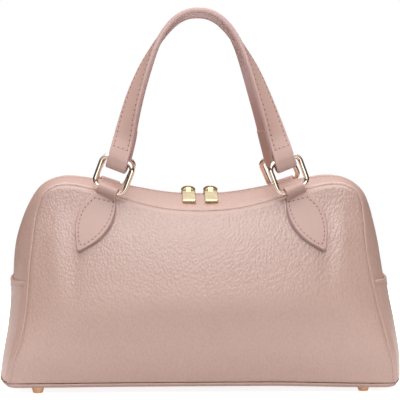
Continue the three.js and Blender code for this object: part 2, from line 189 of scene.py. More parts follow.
class Smooth:
    """Cubic curve through a table, with each row's slope taken between its neighbours."""

    def __init__(self, keys: Any, values: Any) -> None:
        """Keeps the table and works out the slopes.

        Args:
            keys: Rising keys of the rows.
            values: Values of the rows.
        """
        self.keys = np.asarray(keys, float)
        self.values = np.asarray(values, float)
        rows = np.arange(len(self.keys))
        low = np.maximum(rows - 1, 0)
        high = np.minimum(rows + 1, len(rows) - 1)
        self.slopes = (self.values[high] - self.values[low]) / (self.keys[high] - self.keys[low])

    @classmethod
    def of_rows(cls, rows: tuple[Any, ...], key: str, value: str) -> Smooth:
        """Curve of one named column of a table over another."""
        return cls([getattr(row, key) for row in rows], [getattr(row, value) for row in rows])

    def __call__(self, at: Any) -> Array:
        """Value of the cubic Hermite curve, held level past the ends of the table.

        Args:
            at: Keys to look up.

        Returns:
            The value at each.
        """
        at = np.asarray(at, float)
        row = np.clip(np.searchsorted(self.keys, at) - 1, 0, len(self.keys) - 2)
        span = self.keys[row + 1] - self.keys[row]
        t = np.clip((at - self.keys[row]) / span, 0.0, 1.0)
        start, end = self.values[row], self.values[row + 1]
        leave, enter = self.slopes[row] * span, self.slopes[row + 1] * span
        cube = 2.0 * (start - end) + leave + enter
        square = 3.0 * (end - start) - 2.0 * leave - enter
        return start + t * (leave + t * (square + t * cube))


class SeamRow(NamedTuple):
    """Place of the front seam and the bulge of the band behind it at mid depth."""

    across: float
    up: float
    bulge: float


class DepthRow(NamedTuple):
    """Half depth of the bag at the side seam at a height."""

    up: float
    depth: float


SEAM = (
    SeamRow(161.5, 12.0, 8.2),
    SeamRow(158.5, 30.0, 9.6),
    SeamRow(152.0, 52.0, 12.2),
    SeamRow(147.0, 74.0, 13.6),
    SeamRow(143.8, 95.0, 14.8),
    SeamRow(140.2, 124.0, 14.6),
    SeamRow(137.4, 150.0, 10.0),
    SeamRow(133.2, 165.5, 6.0),
    SeamRow(122.5, 173.8, 4.4),
    SeamRow(108.0, 175.2, 4.2),
    SeamRow(86.0, 170.4, 6.4),
    SeamRow(58.0, 162.0, 9.0),
    SeamRow(28.0, 155.6, 10.4),
    SeamRow(0.0, 153.9, 10.6),
)
DEPTH = (
    DepthRow(12.0, 57.0),
    DepthRow(40.0, 61.0),
    DepthRow(70.0, 60.0),
    DepthRow(100.0, 56.0),
    DepthRow(130.0, 49.5),
    DepthRow(155.0, 43.0),
    DepthRow(176.0, 39.5),
)


class SeamPoint(NamedTuple):
    """Points of the front seam, their outward normals seen from the front, and the band's bulge."""

    x: Array
    z: Array
    out_x: Array
    out_z: Array
    bulge: Array


@dataclass(frozen=True)
class BagForm:
    """Main form of the bag: that of the solids, before the leather settles."""

    leather: float = 2.0
    gap: float = 0.4
    rim_top: float = 11.6
    crown: float = 10.0
    crown_round: float = 2.4
    crown_top: float = 175.0
    side_round: float = 2.4
    top_round: float = 1.5
    shoulder: int = 6
    zip_end: float = 5.6
    zip_half: float = 4.2
    outline_points: int = 521
    base_points: int = 160

    @property
    def middle(self) -> int:
        """Station of the seam at the middle of the bag."""
        return len(SEAM) - 1

    @cached_property
    def seam_curves(self) -> tuple[Smooth, Smooth, Smooth]:
        """Curves of the seam's columns over its stations: the right half, then the left.

        Returns:
            Curves of the distance across, of the height and of the bulge.
        """
        right = np.array(SEAM)
        whole = np.concatenate([right, right[-2::-1] * (-1.0, 1.0, 1.0)])
        stations = np.arange(len(whole))
        return tuple(Smooth(stations, column) for column in whole.T)

    @cached_property
    def side_curve(self) -> Smooth:
        """Half width at the side seam over height."""
        return Smooth.of_rows(SEAM[: self.shoulder + 1], "up", "across")

    @cached_property
    def depth_curve(self) -> Smooth:
        """Half depth at the side seam over height."""
        return Smooth.of_rows(DEPTH, "up", "depth")

    def seam(self, station: Any) -> SeamPoint:
        """Front seam at stations counted from the right base corner.

        Args:
            station: Stations.

        Returns:
            The seam's points there.
        """
        across, up, bulge = self.seam_curves
        station = np.asarray(station, float)
        step = 0.01
        along_x = across(station + step) - across(station - step)
        along_z = up(station + step) - up(station - step)
        length = np.hypot(along_x, along_z)
        out_x, out_z = along_z / length, -along_x / length
        return SeamPoint(across(station), up(station), out_x, out_z, bulge(station))

    def depth(self, x: Array, z: Array) -> Array:
        """Half depth of a panel.

        It is the side seam's, with a swell of crown * sin(height) * (1 - width^round).

        Args:
            x: X of the places.
            z: Z of the places.

        Returns:
            The half depth at each.
        """
        share = np.clip((z - self.rim_top) / (self.crown_top - self.rim_top), 0.0, 1.0)
        width = np.minimum(np.abs(x) / self.side_curve(z), 1.0)
        swell = self.crown * np.sin(np.pi * share) * (1.0 - width**self.crown_round)
        return self.depth_curve(z) + swell

    def reach(self, station: Any) -> Array:
        """Half depth of the band behind the seam."""
        point = self.seam(station)
        return self.depth(point.x, point.z) - self.leather - self.gap

    def band(self, station: Any, y: Any, lift: Any) -> Array:
        """Points of the band that joins the panels.

        The band stands out from the seam by bulge * (1 - |y / reach|^round) + lift along the
        seam's normal. The round is that of the sides, or that of the top where the normal
        points up.

        Args:
            station: Station of the seam.
            y: Depth from the middle.
            lift: Height over the plain band.

        Returns:
            Points on the last axis.
        """
        point = self.seam(station)
        power = lerp(self.side_round, self.top_round, np.maximum(point.out_z, 0.0))
        share = np.minimum(np.abs(y) / self.reach(station), 1.0)
        out = point.bulge * (1.0 - share**power) + lift
        place = (point.x + point.out_x * out, y, point.z + point.out_z * out)
        return np.stack(np.broadcast_arrays(*place), axis=-1)

    def panel_place(self, u: Array, w: Array) -> tuple[Array, Array]:
        """Place on a panel seen from the front: its side, top and bottom edges blended over its inside.

        Args:
            u: Share across from the right.
            w: Share up.

        Returns:
            The X and Z of each place.
        """
        top = self.seam(lerp(self.shoulder, 2 * self.middle - self.shoulder, u))
        side = self.seam(lerp(0, self.shoulder, w))
        base, shoulder = SEAM[0], SEAM[self.shoulder]
        turn = 1.0 - 2.0 * u
        x = lerp(top.x * base.across / shoulder.across, top.x, w)
        x = x + turn * (side.x - lerp(base.across, shoulder.across, w))
        z = lerp(base.up, top.z, w) + side.z - lerp(base.up, shoulder.up, w)
        return x, z

    def seam_distance(self, x: Array, z: Array, with_base: bool = True) -> Array:
        """Distance of places on a panel to its outline, by the nearest of its short pieces.

        Args:
            x: X of the places.
            z: Z of the places.
            with_base: Whether the bottom edge counts too.

        Returns:
            The distances.
        """
        line = self.seam(np.linspace(0.0, 2.0 * self.middle, self.outline_points))
        outline = np.stack([line.x, line.z], -1)
        if with_base:
            base = np.linspace(-SEAM[0].across, SEAM[0].across, self.base_points)
            low = np.full(self.base_points, SEAM[0].up)
            outline = np.concatenate([outline, np.stack([base, low], -1)])
        place = np.stack([x.ravel(), z.ravel()], -1)
        gaps = (place[:, :1] - outline[:, 0]) ** 2 + (place[:, 1:] - outline[:, 1]) ** 2
        nearest = np.argmin(gaps, axis=1)
        best = np.full(len(place), FAR)
        for step in (-1, 1):
            start = outline[nearest]
            piece = outline[np.clip(nearest + step, 0, len(outline) - 1)] - start
            reach = np.sum((place - start) * piece, -1)
            share = reach / np.maximum(np.sum(piece * piece, -1), TINY)
            foot = start + np.clip(share, 0.0, 1.0)[:, None] * piece
            best = np.minimum(best, np.linalg.norm(place - foot, axis=-1))
        return best.reshape(x.shape)


@dataclass(frozen=True)
class Settling:
    """How soft leather settles: the low part goes down, most at the right, and the sides sway."""

    down: float = 1.1
    left_down: float = 0.4
    right_down: float = 1.8
    ends: Pair = (50.0, 150.0)
    heights: Pair = (10.0, 70.0)
    sway: float = -2.0
    sway_middle: float = 85.0
    sway_length: float = 160.0
    sides: Pair = (105.0, 150.0)

    def shift(self, points: Array) -> Array:
        """Distance that each point goes.

        The sway is one sine wave up the sides: to the right low down and to the left at mid
        height. The drop fades out with height.

        Args:
            points: Points, one to a row.

        Returns:
            Distances along the axes.
        """
        x, _, z = points.T
        end = np.where(x < 0.0, self.left_down, self.right_down)
        end = end * smoothstep(*self.ends, np.abs(x))
        down = (self.down + end) * (1.0 - smoothstep(*self.heights, z))
        turns = np.clip((z - self.sway_middle) / self.sway_length, -0.5, 0.5)
        over = self.sway * np.sin(2.0 * np.pi * turns) * smoothstep(*self.sides, np.abs(x))
        return np.stack([over, 0.0 * over, -down], -1)


class Skin:
    """A mesh in the making, in millimetres, with values on its points."""

    def __init__(
        self,
        points: Array,
        quads: Array,
        triangles: Array | None = None,
        values: dict[str, Array] | None = None,
    ) -> None:
        """Keeps the mesh.

        Args:
            points: Points, one to a row.
            quads: Corner numbers of the four sided faces.
            triangles: Corner numbers of the three sided faces.
            values: A number on each point for each name.
        """
        self.points = points
        self.quads = quads
        self.triangles = np.zeros((0, 3), int) if triangles is None else triangles
        self.values = values or {}

    @staticmethod
    def grid_quads(
        rows: int, columns: int, wrap_rows: bool = False, wrap_columns: bool = False
    ) -> Array:
        """Corner numbers of a grid's faces.

        Args:
            rows: Rows of the grid.
            columns: Columns of the grid.
            wrap_rows: Whether its last row runs round into its first.
            wrap_columns: Whether its last column runs round into its first.

        Returns:
            Four corner numbers for each face.
        """
        i = np.arange(rows if wrap_rows else rows - 1)
        j = np.arange(columns if wrap_columns else columns - 1)
        a, b = np.meshgrid(i, j, indexing="ij")
        c, d = (a + 1) % rows, (b + 1) % columns
        corners = (a * columns + b, c * columns + b, c * columns + d, a * columns + d)
        return np.stack(corners, axis=-1).reshape(-1, 4)

    @classmethod
    def wall(cls, outer: Array, inner: Array, values: dict[str, Array] | None = None) -> Skin:
        """Wall between two grids of points that meet along the outer one's edge.

        Args:
            outer: Grid of the outer skin.
            inner: Grid of the inner skin, whose edge points aren't used.
            values: A grid of numbers for each name, for both skins.

        Returns:
            The closed wall.
        """
        rows, columns = outer.shape[:2]
        count = rows * columns
        twin = np.arange(count).reshape(rows, columns)
        inside = np.arange((rows - 2) * (columns - 2)).reshape(rows - 2, columns - 2)
        twin[1:-1, 1:-1] = count + inside
        points = np.concatenate([outer.reshape(-1, 3), inner[1:-1, 1:-1].reshape(-1, 3)])
        quads = cls.grid_quads(rows, columns)
        both = np.concatenate([quads, twin.ravel()[quads][:, ::-1]])
        kept = {
            name: np.concatenate([grid.ravel(), grid[1:-1, 1:-1].ravel()])
            for name, grid in (values or {}).items()
        }
        return cls(points, both, values=kept).outward()

    @classmethod
    def sheet(cls, middle: Array, thick: float, rounding: float, rim: float = 0.0) -> Skin:
        """Sheet of leather with rounded edges about a middle surface.

        Each skin lies half the thickness from the middle along its normal, and both fall to
        the middle at the edge in a quarter circle. The value edge is 1 on the rounded edge
        and 0 on the faces.

        Args:
            middle: Grid of points of the middle surface.
            thick: Thickness.
            rounding: Width of the rounded edge.
            rim: Height of the edge itself, from -1 on the lower skin to 1 on the one that
                the normals point to.

        Returns:
            The closed sheet.
        """
        distance = np.full(middle.shape[:2], FAR)
        for axis in (0, 1):
            run = run_lengths(middle, axis)
            whole = np.take(run, [-1], axis=axis)
            distance = np.minimum(distance, np.minimum(run, whole - run))
        half = normals_of(middle) * thick / 2
        fall = edge_fall(distance, rounding)[..., None]
        over = half * (1.0 - fall * (1.0 - rim))
        under = half * (1.0 - fall * (1.0 + rim))
        edge = 1.0 - smoothstep(0.75 * rounding, 1.1 * rounding, distance)
        return cls.wall(middle + over, middle - under, {"edge": edge})

    @classmethod
    def tube(cls, loops: Array, closed: bool = False) -> Skin:
        """Body through loops of points.

        Args:
            loops: Loops, one to a row of the grid.
            closed: Whether it runs round into its first loop. If not, a fan of faces closes
                each end.

        Returns:
            The closed body.
        """
        rows, columns = loops.shape[:2]
        points = loops.reshape(-1, 3)
        quads = cls.grid_quads(rows, columns, closed, True)
        if closed:
            return cls(points, quads).outward()
        ends = np.stack([loops[0].mean(0), loops[-1].mean(0)])
        j = np.arange(columns)
        k = (j + 1) % columns
        last = (rows - 1) * columns
        first_fan = np.stack([k, j, np.full(columns, len(points))], -1)
        last_fan = np.stack([last + j, last + k, np.full(columns, len(points) + 1)], -1)
        points = np.concatenate([points, ends])
        return cls(points, quads, np.concatenate([first_fan, last_fan])).outward()

    @classmethod
    def joined(cls, parts: list[Skin]) -> Skin:
        """Several meshes as one.

        Args:
            parts: The meshes. A value that one of them lacks is 0 there.

        Returns:
            The joined mesh.
        """
        starts = np.cumsum([0] + [len(part.points) for part in parts[:-1]])
        names = set().union(*(part.values for part in parts))
        values = {
            name: np.concatenate([p.values.get(name, np.zeros(len(p.points))) for p in parts])
            for name in names
        }
        points = np.concatenate([part.points for part in parts])
        quads = np.concatenate([part.quads + start for part, start in zip(parts, starts)])
        fans = np.concatenate([part.triangles + start for part, start in zip(parts, starts)])
        return cls(points, quads, fans, values)

    def valued(self, name: str, number: float | Array) -> Skin:
        """The same mesh with one number on all its points, or one on each."""
        self.values[name] = np.full(len(self.points), number)
        return self

    def outward(self) -> Skin:
        """Turns every face outward: the volume under the faces has to come out positive.

        Returns:
            The same mesh.
        """
        fans = np.concatenate([self.quads[:, :3], self.quads[:, [0, 2, 3]], self.triangles])
        a, b, c = (self.points[fans[:, k]] for k in range(3))
        if np.sum(a * np.cross(b, c)) < 0.0:
            self.quads = self.quads[:, ::-1]
            self.triangles = self.triangles[:, ::-1]
        return self

    def placed(self, points: Array) -> Skin:
        """The same faces and values on other points."""
        return Skin(points, self.quads, self.triangles, dict(self.values))

    def mirrored(self, x: int = 1, y: int = 1) -> Skin:
        """The mesh with signs on its X and Y, its faces still outward.

        Args:
            x: Sign of X.
            y: Sign of Y.

        Returns:
            The mirrored mesh.
        """
        turn = slice(None, None, -1 if x * y < 0 else 1)
        points = self.points * (x, y, 1)
        return Skin(points, self.quads[:, turn], self.triangles[:, turn], dict(self.values))

    def moved(self, x: float, y: float, z: float) -> Skin:
        """The mesh moved by a distance along each axis."""
        return self.placed(self.points + (x, y, z))

    def settled(self) -> Skin:
        """The mesh as soft leather settles."""
        return self.placed(self.points + Settling().shift(self.points))

    def turned_x(self, degrees: float) -> Skin:
        """The mesh turned about the X axis.

        Args:
            degrees: Angle of the turn.

        Returns:
            The turned mesh.
        """
        c, s = math.cos(math.radians(degrees)), math.sin(math.radians(degrees))
        turn = np.array([[1.0, 0.0, 0.0], [0.0, c, -s], [0.0, s, c]])
        return self.placed(self.points @ turn.T)

    def to_object(self, name: str, material: bpy.types.Material) -> bpy.types.Object:
        """Blender object of the mesh, in metres, smooth shaded.

        Args:
            name: Name of the object.
            material: Its finish.

        Returns:
            The object, linked to the scene.
        """
        mesh = bpy.data.meshes.new(name)
        corners = np.concatenate([self.quads.ravel(), self.triangles.ravel()])
        four, three = np.arange(len(self.quads)) * 4, np.arange(len(self.triangles)) * 3
        starts = np.concatenate([four, len(self.quads) * 4 + three])
        mesh.vertices.add(len(self.points))
        mesh.vertices.foreach_set("co", (self.points * MM).astype(np.float32).ravel())
        mesh.loops.add(len(corners))
        mesh.loops.foreach_set("vertex_index", corners.astype(np.int32))
        mesh.polygons.add(len(starts))
        mesh.polygons.foreach_set("loop_start", starts.astype(np.int32))
        mesh.update(calc_edges=True)
        mesh.validate()
        for key, numbers in self.values.items():
            attribute = mesh.attributes.new(key, "FLOAT", "POINT")
            attribute.data.foreach_set("value", numbers.astype(np.float32))
        mesh.shade_smooth()
        mesh.set_sharp_from_angle(angle=SHARP_ANGLE)
        mesh.materials.append(material)
        made = bpy.data.objects.new(name, mesh)
        bpy.context.scene.collection.objects.link(made)
        return made


class Wiring:
    """Nodes of a material or a world being wired up."""

    def __init__(self, tree: bpy.types.NodeTree) -> None:
        """Starts with an empty tree."""
        self.tree = tree
        self.tree.nodes.clear()

    def add(
        self, kind: str, sockets: dict[Any, Any] | None = None, **settings: Any
    ) -> bpy.types.Node:
        """Adds a node.

        Args:
            kind: Blender's name of the node.
            sockets: Number, colour or other node's socket for each input.
            settings: Other properties of the node.

        Returns:
            The node.
        """
        node = self.tree.nodes.new(kind)
        for key, value in settings.items():
            setattr(node, key, value)
        self.feed(node, sockets or {})
        return node

    def feed(self, node: bpy.types.Node, sockets: dict[Any, Any]) -> None:
        """Sets or links the inputs of a node.

        Args:
            node: The node.
            sockets: Number, colour or other node's socket for each input.
        """
        for key, value in sockets.items():
            if isinstance(value, Socket):
                self.tree.links.new(value, node.inputs[key])
            else:
                node.inputs[key].default_value = value

    def ramp(self, number: Any, low: float, high: float, start: float, end: float) -> Socket:
        """Number mapped from low..high to start..end and held there."""
        span = {"From Min": low, "From Max": high, "To Min": start, "To Max": end}
        return self.add("ShaderNodeMapRange", {"Value": number, **span}).outputs["Result"]

    def math(self, operation: str, first: Any, second: Any) -> Socket:
        """Sum, product or other operation on two numbers."""
        sockets = {0: first, 1: second}
        return self.add("ShaderNodeMath", sockets, operation=operation).outputs["Value"]


class Shader(Wiring):
    """A material's nodes round a principled surface."""

    def __init__(self, name: str) -> None:
        """Starts an empty material with a surface and an output.

        Args:
            name: Name of the material.
        """
        self.material = bpy.data.materials.new(name)
        self.material.use_nodes = True
        super().__init__(self.material.node_tree)
        self.surface = self.add("ShaderNodeBsdfPrincipled")
        self.add("ShaderNodeOutputMaterial", {"Surface": self.surface.outputs["BSDF"]})

    def place(self, stretch: Triple = (1.0, 1.0, 1.0)) -> Socket:
        """Object coordinates, stretched."""
        source = self.add("ShaderNodeTexCoord").outputs["Object"]
        return self.add("ShaderNodeMapping", {"Vector": source, "Scale": stretch}).outputs["Vector"]

    def value(self, name: str) -> Socket:
        """Number on the mesh's points."""
        return self.add("ShaderNodeAttribute", attribute_name=name).outputs["Fac"]

    def mix(self, share: Any, first: Any, second: Any) -> Socket:
        """Colour between two, by a share."""
        sockets = {0: share, 6: first, 7: second}
        return self.add("ShaderNodeMix", sockets, data_type="RGBA").outputs[2]

    def noise(self, place: Any, scale: float, detail: float = 2.0) -> Socket:
        """Soft noise, about 0.5 in the mean, with so many features to a metre."""
        sockets = {"Vector": place, "Scale": scale, "Detail": detail}
        return self.add("ShaderNodeTexNoise", sockets).outputs["Fac"]

    def bump(self, height: Any, strength: Any, depth: float) -> Socket:
        """Normals of a surface roughened by a height, with its depth in millimetres."""
        sockets = {"Height": height, "Strength": strength, "Distance": depth * MM}
        return self.add("ShaderNodeBump", sockets).outputs["Normal"]

    def finished(self, sockets: dict[Any, Any]) -> bpy.types.Material:
        """Sets or links the inputs of the surface, and gives the material."""
        self.feed(self.surface, sockets)
        return self.material


def linear(red: float, green: float, blue: float) -> Paint:
    """Linear colour of 0 to 255 display numbers.

    Args:
        red: Display red.
        green: Display green.
        blue: Display blue.

    Returns:
        Linear red, green and blue, with an alpha of 1.
    """
    display = np.array([red, green, blue]) / 255.0
    low, high = display / 12.92, ((display + 0.055) / 1.055) ** 2.4
    return (*np.where(display <= 0.04045, low, high).tolist(), 1.0)


def dimmed(colour: tuple[float, ...], share: float) -> Paint:
    """Linear colour with a share of its light."""
    return (*(part * share for part in colour[:3]), 1.0)


@dataclass(frozen=True)
class LeatherFinish:
    """Tumbled leather with a pebbled grain, painted edges and painted shade by the crease value."""

    name: str
    colour: Triple
    edge_colour: Triple
    pebble: float = 1.9
    relief: float = 0.29
    groove: float = 0.16
    roughness: float = 0.38
    stretch: float = 0.75
    shine: float = 0.92
    ior: float = 1.6
    bend: float = 0.6
    bend_scale: float = 240.0
    smoothness: float = 0.18
    patch_scale: float = 34.0
    patch_tone: float = 0.09
    fine_scale: float = 2600.0
    fine_height: float = 0.12
    bump: float = 0.75
    deep_tint: Triple = (0.62, 0.55, 0.52)
    crease_tone: float = 0.4

    def material(self) -> bpy.types.Material:
        """Pebbles are cells of a Voronoi pattern, drawn out upward and bent by noise.

        The grooves between them are darker, and the crease value paints shade darker still.

        Returns:
            The material.
        """
        shader = Shader(self.name)
        place = shader.place((1.0, 1.0, self.stretch))
        noise = {"Vector": place, "Scale": self.bend_scale, "Detail": 1.0}
        bend = shader.add("ShaderNodeTexNoise", noise).outputs["Color"]
        sockets = {0: bend, "Scale": self.pebble * MM * self.bend}
        bent = shader.add("ShaderNodeVectorMath", sockets, operation="SCALE").outputs["Vector"]
        moved = shader.add("ShaderNodeVectorMath", {0: place, 1: bent}, operation="ADD")
        pattern = {
            "Vector": moved.outputs["Vector"],
            "Scale": 1.0 / (self.pebble * MM),
            "Smoothness": self.smoothness,
        }
        cells = shader.add("ShaderNodeTexVoronoi", pattern, feature="SMOOTH_F1").outputs["Distance"]
        patch = shader.noise(place, self.patch_scale, 3.0)
        fine = shader.noise(place, self.fine_scale, 1.0)
        groove = shader.ramp(cells, 0.3, 0.75, 0.0, self.groove)
        tone = shader.ramp(patch, 0.3, 0.7, 0.0, self.patch_tone)
        base = linear(*self.colour)
        deep = (*(part * tint for part, tint in zip(base, self.deep_tint)), 1.0)
        skin = shader.mix(shader.math("ADD", groove, tone), base, deep)
        painted = shader.mix(shader.value("edge"), skin, linear(*self.edge_colour))
        pebbles = shader.ramp(cells, 0.0, 0.8, 1.0, 0.0)
        height = shader.math("ADD", pebbles, shader.math("MULTIPLY", fine, self.fine_height))
        flat = shader.math("SUBTRACT", 1.0, shader.value("edge"))
        strength = shader.math("MULTIPLY", flat, self.bump)
        low, high = self.roughness - 0.06, self.roughness + 0.08
        sockets = {
            # The crease value paints shade into the colour: seam valleys, the pocket lip line, the base
            # rim's top and the tab backing.
            "Base Color": shader.mix(shader.value("crease"), painted, dimmed(deep, self.crease_tone)),
            "Roughness": shader.ramp(fine, 0.3, 0.7, low, high),
            "IOR": self.ior,
            "Specular IOR Level": self.shine,
            "Normal": shader.bump(height, strength, self.relief),
        }
        return shader.finished(sockets)


@dataclass(frozen=True)
class MetalFinish:
    """Plated metal with faint scratches and soft darker patches."""

    name: str
    colour: Triple
    roughness: float
    drift_scale: float = 120.0
    fine_scale: float = 1500.0
    worn_tone: float = 0.82
    crease_tone: float = 0.1
    scratch: float = 0.02
    scratch_depth: float = 0.02

    def material(self) -> bpy.types.Material:
        """Metal whose tone drifts with soft noise, with fine scratches that vary its gloss, and painted
        shade by the crease value.

        Returns:
            The material.
        """
        shader = Shader(self.name)
        place = shader.place()
        drift = shader.noise(place, self.drift_scale)
        fine = shader.noise(place, self.fine_scale, 3.0)
        base = linear(*self.colour)
        worn = shader.ramp(drift, 0.35, 0.7, 0.0, 1.0)
        plated = shader.mix(worn, base, dimmed(base, self.worn_tone))
        low, high = self.roughness * 0.8, self.roughness * 1.25
        sockets = {
            # The crease value paints shade: the dark score on the front of a pull's thick end.
            "Base Color": shader.mix(shader.value("crease"), plated, dimmed(base, self.crease_tone)),
            "Roughness": shader.ramp(fine, 0.3, 0.7, low, high),
            "Metallic": 1.0,
            "Normal": shader.bump(fine, self.scratch, self.scratch_depth),
        }
        return shader.finished(sockets)


@dataclass(frozen=True)
class TapeFinish:
    """Woven zip tape."""

    name: str
    colour: Triple
    ribs: float = 0.9
    bands_to_unit: float = 3.2
    fuzz_scale: float = 2200.0
    dark_tone: float = 0.6
    weave: float = 0.6
    weave_depth: float = 0.1

    def material(self) -> bpy.types.Material:
        """Ribs of a fine weave: bands across the tape crossed by noise.

        Returns:
            The material.
        """
        shader = Shader(self.name)
        place = shader.place()
        scale = 1.0 / (self.ribs * MM) / self.bands_to_unit
        ribs = {"Vector": place, "Scale": scale, "Distortion": 0.6}
        wave = shader.add("ShaderNodeTexWave", ribs, bands_direction="DIAGONAL").outputs["Fac"]
        fuzz = shader.noise(place, self.fuzz_scale)
        base = linear(*self.colour)
        worn = shader.math("MULTIPLY", wave, fuzz)
        sockets = {
            "Base Color": shader.mix(worn, base, dimmed(base, self.dark_tone)),
            "Roughness": 0.9,
            "Sheen Weight": 0.2,
            "Normal": shader.bump(wave, self.weave, self.weave_depth),
        }
        return shader.finished(sockets)


@dataclass(frozen=True)
class ThreadFinish:
    """Sewing thread, over painted shade for its needle holes."""

    name: str
    colour: Triple
    hole_colour: Triple
    fuzz_scale: float = 3000.0
    worn_tone: float = 0.8

    def material(self) -> bpy.types.Material:
        """Thread with an uneven tone, and painted shade of a needle hole where the value hole is 1.

        Returns:
            The material.
        """
        shader = Shader(self.name)
        fuzz = shader.noise(shader.place(), self.fuzz_scale)
        base = linear(*self.colour)
        worn = shader.ramp(fuzz, 0.3, 0.7, 0.0, 1.0)
        thread = shader.mix(worn, base, dimmed(base, self.worn_tone))
        sockets = {
            "Base Color": shader.mix(shader.value("hole"), thread, linear(*self.hole_colour)),
            "Roughness": 0.65,
            "Specular IOR Level": 0.2,
        }
        return shader.finished(sockets)


class Workbench:
    """Makes the shared finishes, and puts finished pieces on their bodies."""

    def __init__(self) -> None:
        """Makes the finishes that the pieces share."""
        # The leather's darker edge colour only reaches the turned zip-side edge of the top strips, as
        # the dark line along the zip.
        leather = LeatherFinish("pebbled leather", (198, 160, 147), (176, 134, 127))
        strap = LeatherFinish(
            "strap leather",
            (202, 164, 152),
            (207, 168, 161),
            pebble=1.6,
            relief=0.02,
            groove=0.08,
            roughness=0.44,
            shine=0.7,
        )
        self.leather = leather.material()
        self.strap = strap.material()
        # The second colour is painted shade for the needle holes.
        self.thread = ThreadFinish("thread", (206, 168, 156), (114, 79, 73)).material()
        self.tape = TapeFinish("zip tape", (178, 132, 126)).material()
        self.gold = MetalFinish("polished pale gold", (250, 228, 208), 0.14).material()
        self.bright = MetalFinish("yellow gold", (250, 226, 178), 0.12).material()
        # Darker gold for the sliders stands in for dark reflections: painted reflection in the metal's
        # colour.
        self.aged = MetalFinish("aged gold", (176, 150, 104), 0.2).material()
        self.satin = MetalFinish("satin gold", (252, 206, 166), 0.45).material()
        self.teeth = MetalFinish("zip tooth gold", (205, 180, 130), 0.25).material()

    def put(
        self,
        skin: Skin,
        name: str,
        material: bpy.types.Material,
        slot: Slot,
        stands_for: str | None = None,
        body: str = "bag",
    ) -> bpy.types.Object:
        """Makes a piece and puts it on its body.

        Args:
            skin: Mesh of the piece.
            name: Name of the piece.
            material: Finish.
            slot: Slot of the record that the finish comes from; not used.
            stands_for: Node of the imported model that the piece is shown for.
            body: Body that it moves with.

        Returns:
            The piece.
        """
        piece = skin.to_object(name, material)
        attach(piece, body)
        if stands_for:
            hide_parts(stands_for)
        LOG.info("%s: %d faces", name, len(skin.quads) + len(skin.triangles))
        return piece


def ball(rings: int, sides: int) -> Array:
    """Loops of a unit ball along X, just short of its poles.

    Args:
        rings: Number of loops.
        sides: Points of each loop.

    Returns:
        Points on the last axis.
    """
    turn = np.linspace(0.06, 0.94, rings) * np.pi
    x = np.broadcast_to(-np.cos(turn)[:, None], (rings, sides))
    y, z = (np.sin(turn)[:, None] * wave(round_angles(sides)) for wave in (np.cos, np.sin))
    return np.stack([x, y, z], -1)


def copies(part: Skin, middles: Array, frames: Array) -> Skin:
    """A small mesh repeated.

    Args:
        part: The mesh.
        middles: Where each copy goes, one to a row.
        frames: Three direction vectors of each copy, as rows of a matrix.

    Returns:
        All the copies as one mesh.
    """
    count, size = len(middles), len(part.points)
    points = np.einsum("pk,nkc->npc", part.points, frames) + middles[:, None, :]
    shift = np.arange(count)[:, None, None] * size
    quads = (part.quads[None] + shift).reshape(-1, 4)
    triangles = (part.triangles[None] + shift).reshape(-1, 3)
    values = {name: np.tile(numbers, count) for name, numbers in part.values.items()}
    return Skin(points.reshape(-1, 3), quads, triangles, values)


@dataclass(frozen=True)
class Stitching:
    """Rows of stitches: a thread from hole to hole, over a dark blob of painted shade at each needle
    hole.
    """

    pitch: float = 4.2
    thread: float = 0.42
    hole: float = 0.72
    thread_share: float = 0.31
    thread_sink: float = 0.15
    hole_stretch: float = 1.15
    hole_depth: float = 0.3
    hole_sink: float = 0.14
    probe: float = 0.3

    def row(self, line: Array, normals: Array) -> Skin:
        """Stitches along a line on a surface.

        Holes stand a pitch apart along the line, each a dark blob of painted shade. Between two
        of them lies a thread: a ball drawn out along the line and half sunk in the leather.

        Args:
            line: Points of the line.
            normals: Outward normals of the surface there.

        Returns:
            The threads and holes.
        """
        run = run_lengths(line)
        count = max(int(round(run[-1] / self.pitch)), 1)
        step = run[-1] / count
        holes = np.arange(count + 1) * step
        middles = (np.arange(count) + 0.5) * step
        thread_half = (step * self.thread_share, self.thread, self.thread)
        hole_half = (self.hole * self.hole_stretch, self.hole, self.hole_depth)
        parts = []
        for places, sizes, sink, dark in (
            (middles, thread_half, self.thread_sink, 0.0),
            (holes, hole_half, self.hole_sink, 1.0),
        ):
            at = along_line(line, run, places)
            up = unit(along_line(normals, run, places))
            ahead = along_line(line, run, places + self.probe)
            along = unit(ahead - along_line(line, run, places - self.probe))
            along = unit(along - up * np.sum(along * up, -1, keepdims=True))
            frames = np.stack([along, np.cross(up, along), up], 1)
            # Hole copies carry the value hole, which the thread finish paints as shade.
            grain = Skin.tube(ball(5, 8)).valued("hole", dark)
            parts.append(copies(grain, at - up * sink, frames * np.array(sizes)[None, :, None]))
        return Skin.joined(parts)


class Dent(NamedTuple):
    """Soft swell of a panel, or a hollow if its height is negative, with its middle and half sizes."""

    x: float
    z: float
    wide: float
    tall: float
    height: float


